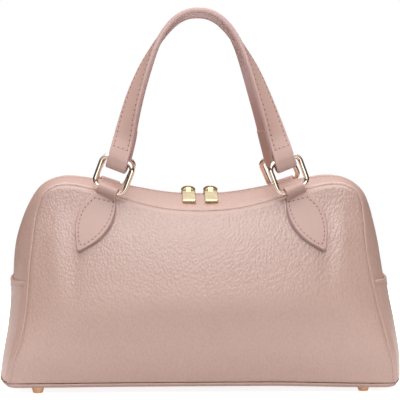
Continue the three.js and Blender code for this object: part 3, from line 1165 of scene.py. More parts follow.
@dataclass(frozen=True)
class Panels:
    """Front and back panel, with edges turned into the seam and the swells of a filled bag."""

    form: BagForm
    valley: float = 3.2
    turn: float = 3.6
    soft_valley: float = 1.6
    soft_turn: float = 18.0
    base_valley: float = 0.55
    base_turn: float = 2.4
    columns: int = 230
    rows: int = 130
    wide: float = 290.0
    tall: float = 150.0
    rim: float = 6.0
    rim_cells: int = 12
    dent_fade: float = 22.0
    middle_shade: float = 0.14
    side_shade: float = 0.36
    shade_span: Pair = (70.0, 112.0)
    front_dents: tuple[Dent, ...] = (
        Dent(0, 77, 125, 17, 1.7),
        Dent(-92, 66, 36, 20, 1.3),
        Dent(84, 88, 40, 18, 0.7),
        Dent(-120, 118, 9, 34, 0.8),
        Dent(-106, 106, 7, 26, -0.5),
        Dent(119, 128, 9, 30, 0.8),
        Dent(105, 112, 7, 26, -0.5),
        Dent(0, 40, 150, 16, -0.6),
    )
    back_dents: tuple[Dent, ...] = (
        Dent(10, 74, 120, 18, 1.5),
        Dent(80, 62, 34, 20, 1.0),
        Dent(-112, 116, 9, 30, 0.7),
    )

    def skin(self, dents: tuple[Dent, ...]) -> Skin:
        """Front panel.

        Its depth is the bag's, with a bell of height * exp(-(dx/wide)^2 - (dz/tall)^2) for
        each dent that fades out at the seam. Toward the side seams it sinks by soft_valley
        * (1 - distance / soft_turn)^2, and the edge falls back into the seam in a quarter
        circle.

        Args:
            dents: Soft swells and hollows.

        Returns:
            The closed panel.
        """
        u = crowded(self.columns, self.wide, self.rim, self.rim_cells)
        w = crowded(self.rows, self.tall, self.rim, self.rim_cells)
        x, z = self.form.panel_place(*np.meshgrid(u, w, indexing="ij"))
        distance = self.form.seam_distance(x, z)
        bells = [
            d.height * np.exp(-(((x - d.x) / d.wide) ** 2) - ((z - d.z) / d.tall) ** 2) for d in dents
        ]
        front = -self.form.depth(x, z) - sum(bells) * smoothstep(0.0, self.dent_fade, distance)
        side = self.form.seam_distance(x, z, False)
        beside = np.clip((self.form.side_curve(z) - np.abs(x)) / self.soft_turn, 0.0, 1.0)
        soft = self.soft_valley * (1.0 - beside) ** 2
        fall = soft + (self.valley - soft) * edge_fall(side, self.turn)
        fall = np.maximum(fall, self.base_valley * edge_fall(z - SEAM[0].up, self.base_turn))
        outer = np.stack([x, front + fall, z], -1)
        inner = np.stack([x, front + fall + self.form.leather, z], -1)
        # Painted shade along the seams, deeper toward the sides, goes into the crease value.
        aside = smoothstep(*self.shade_span, np.abs(x))
        shade = lerp(self.middle_shade, self.side_shade, aside)
        return Skin.wall(outer, inner, {"crease": shade * np.exp(-(side**2))})

    def build(self, bench: Workbench) -> None:
        """Both panels.

        Args:
            bench: Workbench that takes the pieces.
        """
        for face, dents in ((Face.FRONT, self.front_dents), (Face.BACK, self.back_dents)):
            skin = self.skin(dents).settled().mirrored(y=-face.value)
            name = f"{word(face)}_panel"
            bench.put(skin, f"leather_{name}", bench.leather, Slot.LEATHER, name)


@dataclass(frozen=True)
class SeamRoll:
    """Raised roll of leather along a seam, seen in section behind the seam."""

    radius: float = 1.9
    inset: float = 1.05
    sink: float = 0.25
    crease_at: float = 3.8
    crease: float = 0.6
    width: float = 8.0
    arc: Pair = (-55.0, 150.0)
    arc_points: int = 13
    tail_points: int = 10

    def profile(self, rise: float = 0.0) -> tuple[Array, Array, Array]:
        """Section of the roll.

        It starts inside the seam, runs over an arc of a circle and falls into a shallow crease
        behind it, then rises smoothly to the plain leather.

        Args:
            rise: Height of the plain leather over the band.

        Returns:
            Distances behind the seam, heights over the band and the depth of shade.
        """
        angle = np.radians(np.linspace(*self.arc, self.arc_points))
        behind = self.inset - self.radius * np.cos(angle)
        height = self.radius * np.sin(angle) - self.sink
        tail = np.linspace(behind[-1], self.width, self.tail_points)[1:]
        fall = smoothstep(behind[-1], self.crease_at, tail)
        regain = smoothstep(self.crease_at, self.width, tail)
        level = lerp(height[-1], -self.crease, fall) + (self.crease + rise) * regain
        level = level + rise * 0.5 * fall * (1.0 - regain)
        shade = np.concatenate([smoothstep(-0.4, -1.5, height), 0.0 * tail])
        return np.concatenate([behind, tail]), np.concatenate([height, level]), shade


@dataclass(frozen=True)
class Ends:
    """Gussets and the slip pockets sewn over them."""

    form: BagForm
    roll: SeamRoll
    gusset_foot: float = 0.04
    mouth: float = 4.0
    mouth_rise: float = -0.15
    slack: float = 0.25
    pocket_leather: float = 1.6
    lip: float = 0.35
    gusset_length: float = 145.0
    pocket_length: float = 85.0
    sunk: float = 2.2
    sinks_from: float = 0.05
    sinks_to: float = 0.3
    edge_round: float = 1.2
    rows: int = 110
    columns: int = 44

    def section(self, rise: float) -> tuple[Array, Array, Array, Array]:
        """Columns across the band from the front seam to the back one.

        Args:
            rise: Height of the plain leather over the band.

        Returns:
            Distance behind the nearer seam; share of the plain middle; height; shade.
        """
        behind, height, shade = self.roll.profile(rise)
        middle = np.linspace(-1.0, 1.0, self.columns)[1:-1]
        flat = np.zeros(len(middle))
        distance = np.concatenate([behind, flat + self.roll.width, behind[::-1]])
        share = np.concatenate([behind * 0.0 - 1.0, middle, behind * 0.0 + 1.0])
        lift = np.concatenate([height, flat + rise, height[::-1]])
        return distance, share, lift, np.concatenate([shade, flat, shade[::-1]])

    def across(self, station: Array, distance: Array, share: Array) -> Array:
        """Depth of a column: its share of what lies inside its distance from the seam."""
        return share * (self.form.reach(station) - distance)

    def mouth_line(self, distance: Array, share: Array) -> tuple[Array, Array]:
        """Mouth of the pocket.

        Args:
            distance: Distance of each column behind its seam.
            share: Share of the plain middle of each column.

        Returns:
            Station of the mouth in each column, and how near the column is to mid depth.
        """
        width = np.abs(share) * (1.0 - distance / SEAM[0].across)
        middle = 1.0 - width**self.form.side_round
        return self.mouth + self.mouth_rise * middle, middle

    def gusset(self) -> Skin:
        """Right gusset: the band from the base to the zip, sunk under the pocket.

        Returns:
            The closed gusset.
        """
        share_up = crowded(self.rows, self.gusset_length, 3.0, 6)
        station = lerp(self.gusset_foot, self.form.zip_end - 0.001, share_up)[:, None]
        distance, share, height, shade = self.section(0.0)
        y = self.across(station, distance, share)
        mouth, _ = self.mouth_line(distance, share)
        shown = smoothstep(mouth - self.sinks_to, mouth - self.sinks_from, station)
        lift = height * shown - self.sunk * (1.0 - shown)
        outer = self.form.band(station, y, lift)
        inner = self.form.band(station, y, lift - self.form.leather)
        return Skin.wall(outer, inner, {"crease": shade * np.ones_like(station)})

    def pocket(self) -> Skin:
        """Right pocket: over the gusset up to its mouth, which dips at mid depth.

        The mouth stands off the gusset and has a turned lip with a faint line of painted shade under
        it.

        Returns:
            The closed pocket.
        """
        share_up = crowded(self.rows, self.pocket_length, 5.0, 9)[:, None]
        distance, share, height, shade = self.section(self.form.gap + self.pocket_leather)
        mouth, middle = self.mouth_line(distance, share)
        station = share_up * mouth
        y = self.across(station, distance, share)
        down = (1.0 - share_up) * self.pocket_length
        turned = self.lip * np.exp(-((down / 2.2) ** 2)) * smoothstep(0.0, 0.15, middle)
        fall = edge_fall(down, self.edge_round)
        lift = height + self.slack * middle * share_up**3 + turned - self.edge_round * fall
        thick = self.pocket_leather + 0.8 * np.exp(-((down / 3.0) ** 2))
        outer = self.form.band(station, y, lift)
        inner = self.form.band(station, y, lift - thick * (1.0 - fall))
        # Painted shade: a faint dark line just under the turned lip, added to the crease value.
        line = 0.25 * np.exp(-(((down - 3.6) / 0.7) ** 2)) * smoothstep(0.0, 0.1, middle)
        return Skin.wall(outer, inner, {"crease": shade + line})

    def build(self, bench: Workbench) -> None:
        """Gusset and pocket on both ends.

        Args:
            bench: Workbench that takes the pieces.
        """
        for side in Side:
            for kind, skin in (("gusset", self.gusset()), ("pocket", self.pocket())):
                name = f"{kind}_{word(side)}"
                made = skin.mirrored(x=side.value).settled()
                bench.put(made, f"leather_{name}", bench.leather, Slot.LEATHER, name)


@dataclass(frozen=True)
class TopStrips:
    """Leather strips on either side of the zip, with a turned and stitched edge along it."""

    form: BagForm
    roll: SeamRoll
    stitching: Stitching
    stitch_in: float = 5.0
    edge_round: float = 1.2
    length: float = 390.0
    rim: tuple[float, ...] = (0.75, 0.5, 0.28, 0.12, 0.03, 0.0)
    rows: int = 250
    columns: int = 26
    stitch_points: int = 400
    stitch_end: int = 8

    def stations(self, count: int) -> Array:
        """Stations along the zip from the right end to the left."""
        end = self.form.zip_end + 0.001
        return lerp(end, 2 * self.form.middle - end, crowded(count, self.length, 3.0, 5))

    def strip(self) -> Skin:
        """Front strip: a roll at the seam, the plain roof, and a rounded edge by the zip.

        Returns:
            The closed strip.
        """
        station = self.stations(self.rows)[:, None]
        behind, height, shade = self.roll.profile()
        plain = np.linspace(0.0, 1.0, self.columns)[1:]
        rim = np.array(self.rim)
        reach = self.form.reach(station)
        end = reach - self.form.zip_half
        middle = lerp(self.roll.width, end - self.edge_round, plain)
        rolled = np.broadcast_to(behind, (len(station), len(behind)))
        distance = np.concatenate([rolled, middle, end - self.edge_round * rim], 1)
        lift = np.concatenate([height, np.zeros(len(plain) + len(rim))])
        fall = edge_fall(end - distance, self.edge_round) * (distance > self.roll.width)
        outer = self.form.band(station, distance - reach, lift - fall)
        inner = self.form.band(station, distance - reach, lift - self.form.leather + fall)
        # Painted shade from the seam roll goes into the crease value. The turned zip-side edge takes
        # the darker edge colour: a dark line along the zip that stands for the tape behind it and
        # painted shade on the edge.
        dark = np.concatenate([shade, np.zeros(len(plain) + len(rim))])
        painted = np.concatenate([np.zeros(len(behind) + len(plain)), 1.0 - rim])
        rows = np.ones_like(station)
        return Skin.wall(outer, inner, {"crease": dark * rows, "edge": painted * rows})

    def seam_stitches(self) -> Skin:
        """Row of stitches along the zip side of the front strip.

        Returns:
            The stitches.
        """
        station = self.stations(self.stitch_points)[self.stitch_end : -self.stitch_end]
        y = -self.form.zip_half - self.stitch_in
        line = self.form.band(station, y, 0.0)
        ahead = self.form.band(station, y - 0.5, 0.0)
        normals = unit(np.cross(np.gradient(line, axis=0), ahead - line))
        normals = normals * np.sign(normals[len(normals) // 2, 2])
        return self.stitching.row(line, normals)

    def build(self, bench: Workbench) -> None:
        """Both strips and their stitches.

        Args:
            bench: Workbench that takes the pieces.
        """
        strip, stitches = self.strip(), self.seam_stitches()
        for face in Face:
            name = f"top_strip_{word(face)}"
            turned = [skin.mirrored(y=-face.value).settled() for skin in (strip, stitches)]
            bench.put(turned[0], f"leather_{name}", bench.leather, Slot.LEATHER, name)
            bench.put(turned[1], f"stitches_{name}", bench.thread, Slot.LEATHER)


@dataclass(frozen=True)
class BasePanel:
    """Stiff base with a rolled rim."""

    form: BagForm
    under: float = 7.6
    roll: float = 5.0
    corner: float = 6.0
    pocket_out: float = 10.2
    shoulder: float = 0.9
    rim_shade: float = 0.3

    def outline(self) -> Array:
        """Closed plan outline: straight front and back, bulged ends and round corners.

        Returns:
            X and Y of its points.
        """
        half_x, half_y = SEAM[0].across, DEPTH[0].depth
        inner = half_y - self.corner
        y = np.linspace(-inner, inner, 60)
        bulge = self.pocket_out * (1.0 - np.abs(y / half_y) ** self.form.side_round)
        end = np.stack([half_x + bulge, y], -1)
        corner_x = end[-1, 0] - self.corner
        angle = np.linspace(0.0, np.pi / 2, 10)[1:]
        arc = np.stack([np.cos(angle), np.sin(angle)], -1) * self.corner + (corner_x, inner)
        back = np.stack([np.linspace(corner_x, -corner_x, 120), np.full(120, half_y)], -1)[1:-1]
        half = np.concatenate([end, arc, back, arc[::-1] * (-1, 1)])
        return np.concatenate([half, -half])

    def skin(self) -> Skin:
        """Rings of the outline, drawn in step by step.

        They run from inside the base up to the rim, over it, down round the roll and under.
        Each row has the distance that a ring is drawn in by and its height.

        Returns:
            The closed base.
        """
        inside, top = self.under + 2.0, self.form.rim_top
        rows = [(40.0, inside), (5.5, inside), (2.4, top - 1.5)]
        rows += [(1.9, top - 0.3), (1.3, top), (0.5, top - 0.25)]
        turn = np.linspace(0.0, np.pi / 2, 9)
        fall = top - self.shoulder - (top - self.under - self.shoulder) * np.sin(turn)
        rows += np.stack([self.roll * (1 - np.cos(turn)), fall], -1).tolist()
        rows += [(16.0, self.under), (45.0, self.under)]
        inset, height = np.array(rows).T
        half = np.array([SEAM[0].across + self.pocket_out, DEPTH[0].depth])
        plan = self.outline()[None] * ((half - inset[:, None]) / half)[:, None, :]
        z = np.broadcast_to(height[:, None], plan.shape[:2])
        skin = Skin.tube(np.concatenate([plan, z[..., None]], -1))
        # Painted shade on the top of the rim, which would otherwise stand out bright under the key
        # light.
        high = smoothstep(top - 2.8, top - 0.6, skin.points[:, 2])
        return skin.valued("crease", self.rim_shade * high).settled()

    def build(self, bench: Workbench) -> None:
        """The base."""
        bench.put(self.skin(), "leather_base_panel", bench.leather, Slot.LEATHER, "base_panel")


@dataclass(frozen=True)
class Feet:
    """Metal feet under the base."""

    x: float = 137.5
    y: float = 42.0
    height: float = 7.2
    top_radius: float = 6.2
    bottom_radius: float = 4.2
    bevel: float = 0.7
    top_bevel: float = 0.4
    waist: float = 0.15
    pin: float = 0.6
    sides: int = 40

    def skin(self) -> Skin:
        """Turned foot: a tapered profile with rounded rims, carried round its axis.

        Returns:
            The closed foot.
        """
        turn = np.linspace(0.0, np.pi / 2, 5)
        outward, upward = 1 - np.sin(turn), 1 - np.cos(turn)
        low = np.stack([self.bottom_radius - self.bevel * outward, self.bevel * upward], -1)
        top = self.height - self.top_bevel * outward
        high = np.stack([self.top_radius - self.top_bevel * upward, top], -1)
        middle = lerp(self.bottom_radius, self.top_radius, 0.5) - self.waist
        waist = [[middle, self.height * 0.5]]
        profile = np.concatenate([[[self.pin, 0.0]], low, waist, high, [[self.pin, self.height]]])
        angle = round_angles(self.sides)
        loops = profile[:, None, :1] * np.stack([np.cos(angle), np.sin(angle)], -1)
        z = np.broadcast_to(profile[:, 1:], loops.shape[:2])
        return Skin.tube(np.concatenate([loops, z[..., None]], -1))

    def build(self, bench: Workbench) -> None:
        """All four feet.

        Args:
            bench: Workbench that takes the pieces.
        """
        skin = self.skin()
        for face in Face:
            for side in Side:
                name = f"foot_{word(face)}_{word(side)}"
                made = skin.moved(side.value * self.x, face.value * self.y, 0.0)
                bench.put(made, f"metal_{name}", bench.satin, Slot.GOLD, name)


@dataclass(frozen=True)
class Rings:
    """Square rings of round wire, with the frame of the left one seen from its own face."""

    x: float = 73.0
    y: float = 48.5
    z: float = 184.4
    wide: float = 27.8
    tall: float = 26.3
    corner: float = 6.2
    wire: float = 2.1
    lean: float = 20.0
    yaw: float = 16.0
    drop: float = 0.0
    tilt: float = 0.0
    corner_points: int = 13
    sides: int = 20

    @property
    def upright(self) -> Array:
        """Direction up the ring before it tilts in."""
        lean = math.radians(self.lean)
        return np.array([math.sin(lean), 0.0, math.cos(lean)])

    @property
    def up(self) -> Array:
        """Direction from the lower bar to the upper one, tilted in about the bar."""
        tilt = math.radians(self.tilt)
        return self.upright * math.cos(tilt) - np.cross(self.bar, self.upright) * math.sin(tilt)

    @property
    def bar(self) -> Array:
        """Direction of the bars, toward the middle of the bag and its face.

        Returns:
            Unit vector.
        """
        lean, yaw = math.radians(self.lean), math.radians(self.yaw)
        level = np.array([math.cos(lean), 0.0, -math.sin(lean)])
        return level * math.cos(yaw) + np.array([0.0, -math.sin(yaw), 0.0])

    @property
    def normal(self) -> Array:
        """Direction that the ring faces, to the front."""
        return np.cross(self.bar, self.up)

    @property
    def lower(self) -> Array:
        """Middle of the lower bar."""
        return np.array([-self.x, -self.y, self.z - self.drop]) - self.upright * self.tall / 2

    @property
    def middle(self) -> Array:
        """Middle of the ring."""
        return self.lower + self.up * self.tall / 2

    @property
    def upper(self) -> Array:
        """Middle of the upper bar."""
        return self.lower + self.up * self.tall

    def skin(self) -> Skin:
        """Front left ring: a circle carried round a square with quarter circle corners.

        Returns:
            The closed ring.
        """
        path, out = rounded_box(self.wide / 2, self.tall / 2, self.corner, self.corner_points)
        around = round_angles(self.sides)
        flat = path[:, None] + out[:, None] * (self.wire * np.cos(around))[None, :, None]
        frame = np.stack([self.bar, self.up, self.normal])
        depth = np.broadcast_to(self.wire * np.sin(around), flat.shape[:2])
        loops = np.concatenate([flat, depth[..., None]], -1) @ frame + self.middle
        return Skin.tube(loops, closed=True)

    def build(self, bench: Workbench, face: Face) -> None:
        """Both rings of a face.

        Args:
            bench: Workbench that takes the pieces.
            face: Face of the bag that they are on.
        """
        skin = self.skin()
        for side in Side:
            name = f"ring_{word(face)}_{word(side)}"
            made = skin.mirrored(-side.value, -face.value)
            bench.put(made, f"metal_{name}", bench.gold, Slot.GOLD, name)


class LeafRow(NamedTuple):
    """Half width of a tab at a distance down from its ring's bar."""

    along: float
    half: float


LEAF = (
    LeafRow(0.0, 8.7),
    LeafRow(6.0, 9.4),
    LeafRow(11.0, 12.0),
    LeafRow(20.0, 14.8),
    LeafRow(28.0, 14.8),
    LeafRow(36.0, 13.0),
    LeafRow(43.0, 10.0),
    LeafRow(50.0, 5.6),
    LeafRow(57.0, 0.8),
)


@dataclass(frozen=True)
class Tabs:
    """Leaf shaped tabs: a leather that wraps a ring's lower bar and lies on the panel."""

    form: BagForm
    rings: Rings
    stitching: Stitching
    front_thick: float = 2.0
    back_thick: float = 1.5
    stand: float = 0.7
    splay: float = 27.3
    neck: float = 7.2
    skew: float = 0.24
    inset: float = 3.2
    band: float = 1.5
    shift: float = 1.2
    clear: float = 0.3
    bend: float = 6.0
    wrap_turn: Pair = (-25.0, 215.0)
    front_round: float = 0.9
    back_round: float = 0.6
    back_shade: float = 0.3
    shift_length: float = 14.0
    band_span: Pair = (4.0, 22.0)

    @cached_property
    def half(self) -> Smooth:
        """Half width over the distance down from the bar."""
        return Smooth.of_rows(LEAF, "along", "half")

    def free(self, along: Array, band: float) -> Array:
        """Width kept free along the inner edge, which grows below the neck."""
        return band * smoothstep(*self.band_span, along)

    def leaf(self, along: Array, share: Array, lift: float, band: float) -> Array:
        """Points of the leaf on the panel.

        Args:
            along: Distance down from the bar.
            share: Place across, from -1 to 1 of the half width.
            lift: Height over the panel.
            band: Width that is kept free along the inner edge of the leaf below its neck.

        Returns:
            Points on the last axis.
        """
        half = self.half(along)
        free = np.minimum(self.free(along, band), half)
        return self.flat(along, share * (half - free / 2) - free / 2, lift)

    def flat(self, along: Array, across: Array, lift: float) -> Array:
        """Points over the panel.

        Args:
            along: Distance down the splayed middle line of the leaf.
            across: Distance across it.
            lift: Height over the panel.

        Returns:
            Points on the last axis.
        """
        c, s = math.cos(math.radians(self.splay)), math.sin(math.radians(self.splay))
        across = across + self.shift * smoothstep(0.0, self.shift_length, along)
        x = self.rings.lower[0] - along * s + across * c
        z = self.rings.lower[2] - along * c - across * s
        return np.stack([x, -self.form.depth(x, z) - lift, z], -1)

    def wrap(self, angle: Array, share: Array, radius: float) -> Array:
        """Points round the ring's lower bar.

        Args:
            angle: Angle up from the front.
            share: Place across, from -1 to 1 of the half width.
            radius: Distance from the bar's middle.

        Returns:
            Points on the last axis.
        """
        ring = self.rings
        across = share * LEAF[0].half
        out = radius * (np.cos(angle)[..., None] * ring.normal + np.sin(angle)[..., None] * ring.up)
        return ring.lower + out + across[..., None] * ring.bar

    def front(self) -> Array:
        """Middle surface of the front leather.

        It runs up the leaf, over the neck in a cubic bend, and round the bar.

        Returns:
            Grid of points.
        """
        even = np.linspace(-1.0, 1.0, 41)
        share = np.sin(even * np.pi / 2) * 0.4 + even * 0.6
        tip = LEAF[-1].along - self.band
        point = tip - 4.0 * np.linspace(0, 1, 9)[:-1] ** 1.5
        rise = np.concatenate([point, np.linspace(tip - 4.0, self.neck, 70)])
        height = self.stand + self.back_thick + self.front_thick / 2
        leaf = self.leaf(*np.meshgrid(rise, share, indexing="ij"), height, self.band)
        radius = self.rings.wire + self.clear + self.front_thick / 2
        turn = np.radians(np.linspace(*self.wrap_turn, 34))
        wrap = self.wrap(*np.meshgrid(turn, share, indexing="ij"), radius)
        t = np.linspace(0.0, 1.0, 10)[1:-1, None, None]
        leave = unit(leaf[-1] - leaf[-2]) * self.bend
        enter = unit(wrap[1] - wrap[0]) * self.bend
        bend = (1 + 2 * t) * (1 - t) ** 2 * leaf[-1] + t * (1 - t) ** 2 * leave
        bend = bend + t * t * (3 - 2 * t) * wrap[0] - t * t * (1 - t) * enter
        return np.concatenate([leaf, bend, wrap])

    def back(self) -> Array:
        """Middle surface of the backing, which stands out past the front on the inner edge.

        Returns:
            Grid of points.
        """
        share = np.linspace(-1.0, 1.0, 31) * 0.985
        rise = np.linspace(56.6, 6.0, 60)
        height = self.stand + self.back_thick / 2
        return self.leaf(*np.meshgrid(rise, share, indexing="ij"), height, 0.0)

    def stitches(self) -> Skin:
        """Stitches inside the leaf's outline and one row across its neck.

        Returns:
            The stitches.
        """
        top, tip = self.neck + 2.2, 50.0
        along = np.linspace(top, tip, 120)
        half = np.maximum(self.half(along) - self.inset, 0.0)
        free = self.free(along, self.band)
        skew = half * lerp(self.skew, 0.1, smoothstep(top, top + 16.0, along))
        down = np.concatenate([along - skew, along[::-1] + skew[::-1]])
        across = np.concatenate([np.maximum(half - free, -half), -half[::-1]])
        edge = np.linspace(-1.0, 1.0, 40) * (self.half(top) - self.inset)
        height = self.stand + self.back_thick + self.front_thick
        parts = []
        for a, b in ((down, across), (top - self.skew * edge, edge)):
            line = self.flat(a, b, height)
            step = self.flat(a + 0.5, b, height) - self.flat(a - 0.5, b, height)
            side = self.flat(a, b + 0.5, height) - self.flat(a, b - 0.5, height)
            normals = unit(np.cross(step, side))
            normals = normals * np.where(normals[:, 1:2] > 0, -1.0, 1.0)
            parts.append(self.stitching.row(line, normals))
        return Skin.joined(parts)

    def build(self, bench: Workbench, face: Face) -> None:
        """Both tabs of a face and their stitches.

        Args:
            bench: Workbench that takes the pieces.
            face: Face of the bag that they are on.
        """
        front = Skin.sheet(self.front(), self.front_thick, self.front_round)
        back = Skin.sheet(self.back(), self.back_thick, self.back_round)
        # The backing takes the edge colour all over, with painted shade so that its band along the
        # inner edge reads dark.
        back = back.valued("edge", 1.0).valued("crease", self.back_shade)
        tab, stitches = Skin.joined([front, back]), self.stitches()
        for side in Side:
            name = f"tab_{word(face)}_{word(side)}"
            signs = (-side.value, -face.value)
            bench.put(tab.mirrored(*signs), f"leather_{name}", bench.strap, Slot.LEATHER, name)
            bench.put(stitches.mirrored(*signs), f"stitches_{name}", bench.thread, Slot.LEATHER)


class StrapRow(NamedTuple):
    """Turn of a handle's strap about its own length, by the share of its fall from the top."""

    fall: float
    turn: float


STRAP = (
    StrapRow(0.0, 0.0),
    StrapRow(0.12, 3.0),
    StrapRow(0.24, 12.0),
    StrapRow(0.36, 26.0),
    StrapRow(0.52, 41.0),
    StrapRow(0.68, 53.0),
    StrapRow(0.85, 68.0),
    StrapRow(1.0, 74.0),
)


@dataclass(frozen=True)
class Handles:
    """Strap handles: an outer leather that wraps the rings' upper bars, with a lining under it."""

    rings: Rings
    stitching: Stitching
    rise: float = 126.0
    bow: float = 2.3
    width: float = 18.0
    lean_in: float = 14.0
    layer: float = 2.35
    fold_back: float = 27.0
    cross_row: float = 10.0
    hang: float = 4.5
    row_in: float = 2.9
    sway: float = -1.6
    clear: float = 0.3
    edge: float = 1.2
    blend: Pair = (3.0, 34.0)

    def arch(self, share: Array) -> Array:
        """Middle line: rise * (1 - share^bow) from ring to ring, leaned to the other handle.

        Args:
            share: Place along, from -1 at the left ring to 1 at the right.

        Returns:
            Points on the last axis.
        """
        lean = math.radians(self.lean_in)
        up = self.rise * (1.0 - np.abs(share) ** self.bow)
        start = self.rings.upper
        y, z = start[1] + up * math.sin(lean), start[2] + up * math.cos(lean)
        return np.stack([-start[0] * share, y, z], -1)

    @cached_property
    def table(self) -> tuple[Array, Array]:
        """Length up the strap from the left ring's bar, and the share, from there to the top."""
        share = np.linspace(-1.0, 0.0, 801)
        return run_lengths(self.arch(share)), share

    def frames(self, length: Array) -> tuple[Array, Array, Array]:
        """Middle line, face direction and width direction of the strap's left half.

        The strap turns about its length by the table of turns. Close to the ring its
        directions blend into the ring's own.

        Args:
            length: Length up from the ring's bar.

        Returns:
            Points, directions that the face points to and directions across.
        """
        runs, shares = self.table
        share = np.interp(length, runs, shares)
        along = unit(self.arch(share + 0.001) - self.arch(share - 0.001))
        lean = math.radians(self.lean_in)
        flat = np.array([0.0, math.cos(lean), -math.sin(lean)])
        out = -np.cross(flat, along)
        turns = Smooth.of_rows(STRAP, "fall", "turn")
        turn = np.radians(turns(np.abs(share) ** self.bow))[:, None]
        face = out * np.cos(turn) - flat * np.sin(turn)
        width = out * np.sin(turn) + flat * np.cos(turn)
        near = (1.0 - smoothstep(*self.blend, length))[:, None]
        face = unit(lerp(face, self.rings.normal, near))
        width = lerp(width, -self.rings.bar, near)
        width = unit(width - face * np.sum(width * face, -1, keepdims=True))
        return self.arch(share), face, width

    def surface(self, length: Array, across: Array, offset: Array) -> Array:
        """Points of the strap's left half.

        Args:
            length: Lengths up from the ring's bar.
            across: Places across the strap.
            offset: Height over the middle line at each length.

        Returns:
            Grid of points.
        """
        line, face, width = self.frames(length)
        rows = line[:, None] + face[:, None] * offset[:, None, None]
        return rows + width[:, None] * across[None, :, None]

    def whole(self, left: Array) -> Array:
        """Left half of a grid with its mirror image carried on from the top."""
        return np.concatenate([left, left[-2::-1] * (-1.0, 1.0, 1.0)])

    @property
    def wrap_radius(self) -> float:
        """Radius of the outer leather's middle round a ring's bar."""
        return self.rings.wire + self.clear + self.layer / 2

    def front_offset(self, length: Array) -> Array:
        """Height of the outer leather over the middle line, which grows to clear the ring's bar."""
        return lerp(self.wrap_radius, self.layer / 2, smoothstep(0.0, 22.0, length))

    def rim(self, points: int) -> Array:
        """Distances in from an edge, closer together toward it."""
        return np.linspace(0.0, 1.0, points)[:-1] ** 1.4 * self.edge

    def columns(self, rim: Array, plain: int) -> Array:
        """Places across the strap, closer together at both edges.

        Args:
            rim: Distances of the edge's places from the edge.
            plain: Number of places between the edges.

        Returns:
            Places from edge to edge.
        """
        half = self.width / 2
        middle = np.linspace(self.edge - half, half - self.edge, plain)
        return np.concatenate([rim - half, middle, (half - rim)[::-1]])

    def outer(self) -> Array:
        """Middle surface of the outer leather: up the back, round the bar, up the front.

        Returns:
            Grid of points from ring to ring.
        """
        rim = self.rim(7)
        across = self.columns(rim, 16)
        fold = np.linspace(self.fold_back - self.edge, 0.0, 24)
        back = np.concatenate([self.fold_back - rim, fold])
        skived = self.layer * (1.5 - 0.45 * smoothstep(14.0, self.fold_back, back))
        sunk = lerp(self.wrap_radius, skived, smoothstep(0.0, 20.0, back))
        behind = self.surface(back, across, -sunk)
        angle = np.radians(np.linspace(180.0, 0.0, 26)[1:-1])[:, None, None]
        ring = self.rings
        around = ring.upper - self.hang * ring.up
        around = around + self.wrap_radius * (np.cos(angle) * ring.normal - np.sin(angle) * ring.up)
        around = around - across[None, :, None] * ring.bar
        front = np.linspace(0.0, self.table[0][-1], 150)
        ahead = self.surface(front, across, self.front_offset(front))
        return self.whole(np.concatenate([behind, around, ahead]))

    def lining(self) -> Array:
        """Middle surface of the lining under the outer leather.

        Returns:
            Grid of points from ring to ring.
        """
        rim, start = self.rim(6), 6.0
        plain = np.linspace(start + self.edge, self.table[0][-1], 130)
        length = np.concatenate([start + rim, plain])
        level = np.full(len(length), -self.layer / 2)
        return self.whole(self.surface(length, self.columns(rim, 14), level))

    def stitches(self) -> Skin:
        """Two rows along the outer face and one row across each end.

        Returns:
            The stitches.
        """
        reach = self.width / 2 - self.row_in
        length = np.linspace(self.cross_row, self.table[0][-1], 300)
        top = self.front_offset(length) + self.layer / 2
        grid = self.surface(length, np.array([-reach, reach]), top)
        face = self.whole(self.frames(length)[1])
        rows = [self.stitching.row(self.whole(grid[:, k]), face) for k in (0, 1)]
        end = np.array([self.cross_row, self.cross_row + 0.01])
        top = self.front_offset(end) + self.layer / 2
        line = self.surface(end, np.linspace(-reach, reach, 30), top)[0]
        row = self.stitching.row(line, np.repeat(self.frames(end)[1][:1], 30, 0))
        return Skin.joined(rows + [row, row.mirrored(x=-1)])

    def swayed(self, skin: Skin) -> Skin:
        """The mesh leaned to one side: nothing at the rings, and all the sway from half way up.

        Args:
            skin: Mesh of a strap or of its stitches.

        Returns:
            The leaned mesh.
        """
        share = smoothstep(0.0, self.rise * 0.5, skin.points[:, 2] - self.rings.upper[2])
        over = np.stack([self.sway * share, 0.0 * share, 0.0 * share], -1)
        return skin.placed(skin.points + over)

    def build(self, bench: Workbench, face: Face) -> None:
        """Handle of a face and its stitches.

        Args:
            bench: Workbench that takes the pieces.
            face: Face of the bag that they are on.
        """
        outer = Skin.sheet(self.outer(), self.layer, self.edge, -1.0)
        lining = Skin.sheet(self.lining(), self.layer, self.edge, 1.0).valued("edge", 1.0)
        strap = self.swayed(Skin.joined([outer, lining])).mirrored(y=-face.value)
        stitches = self.swayed(self.stitches()).mirrored(y=-face.value)
        name = f"handle_{word(face)}"
        bench.put(strap, f"leather_{name}", bench.strap, Slot.LEATHER, name)
        bench.put(stitches, f"stitches_{name}", bench.thread, Slot.LEATHER)


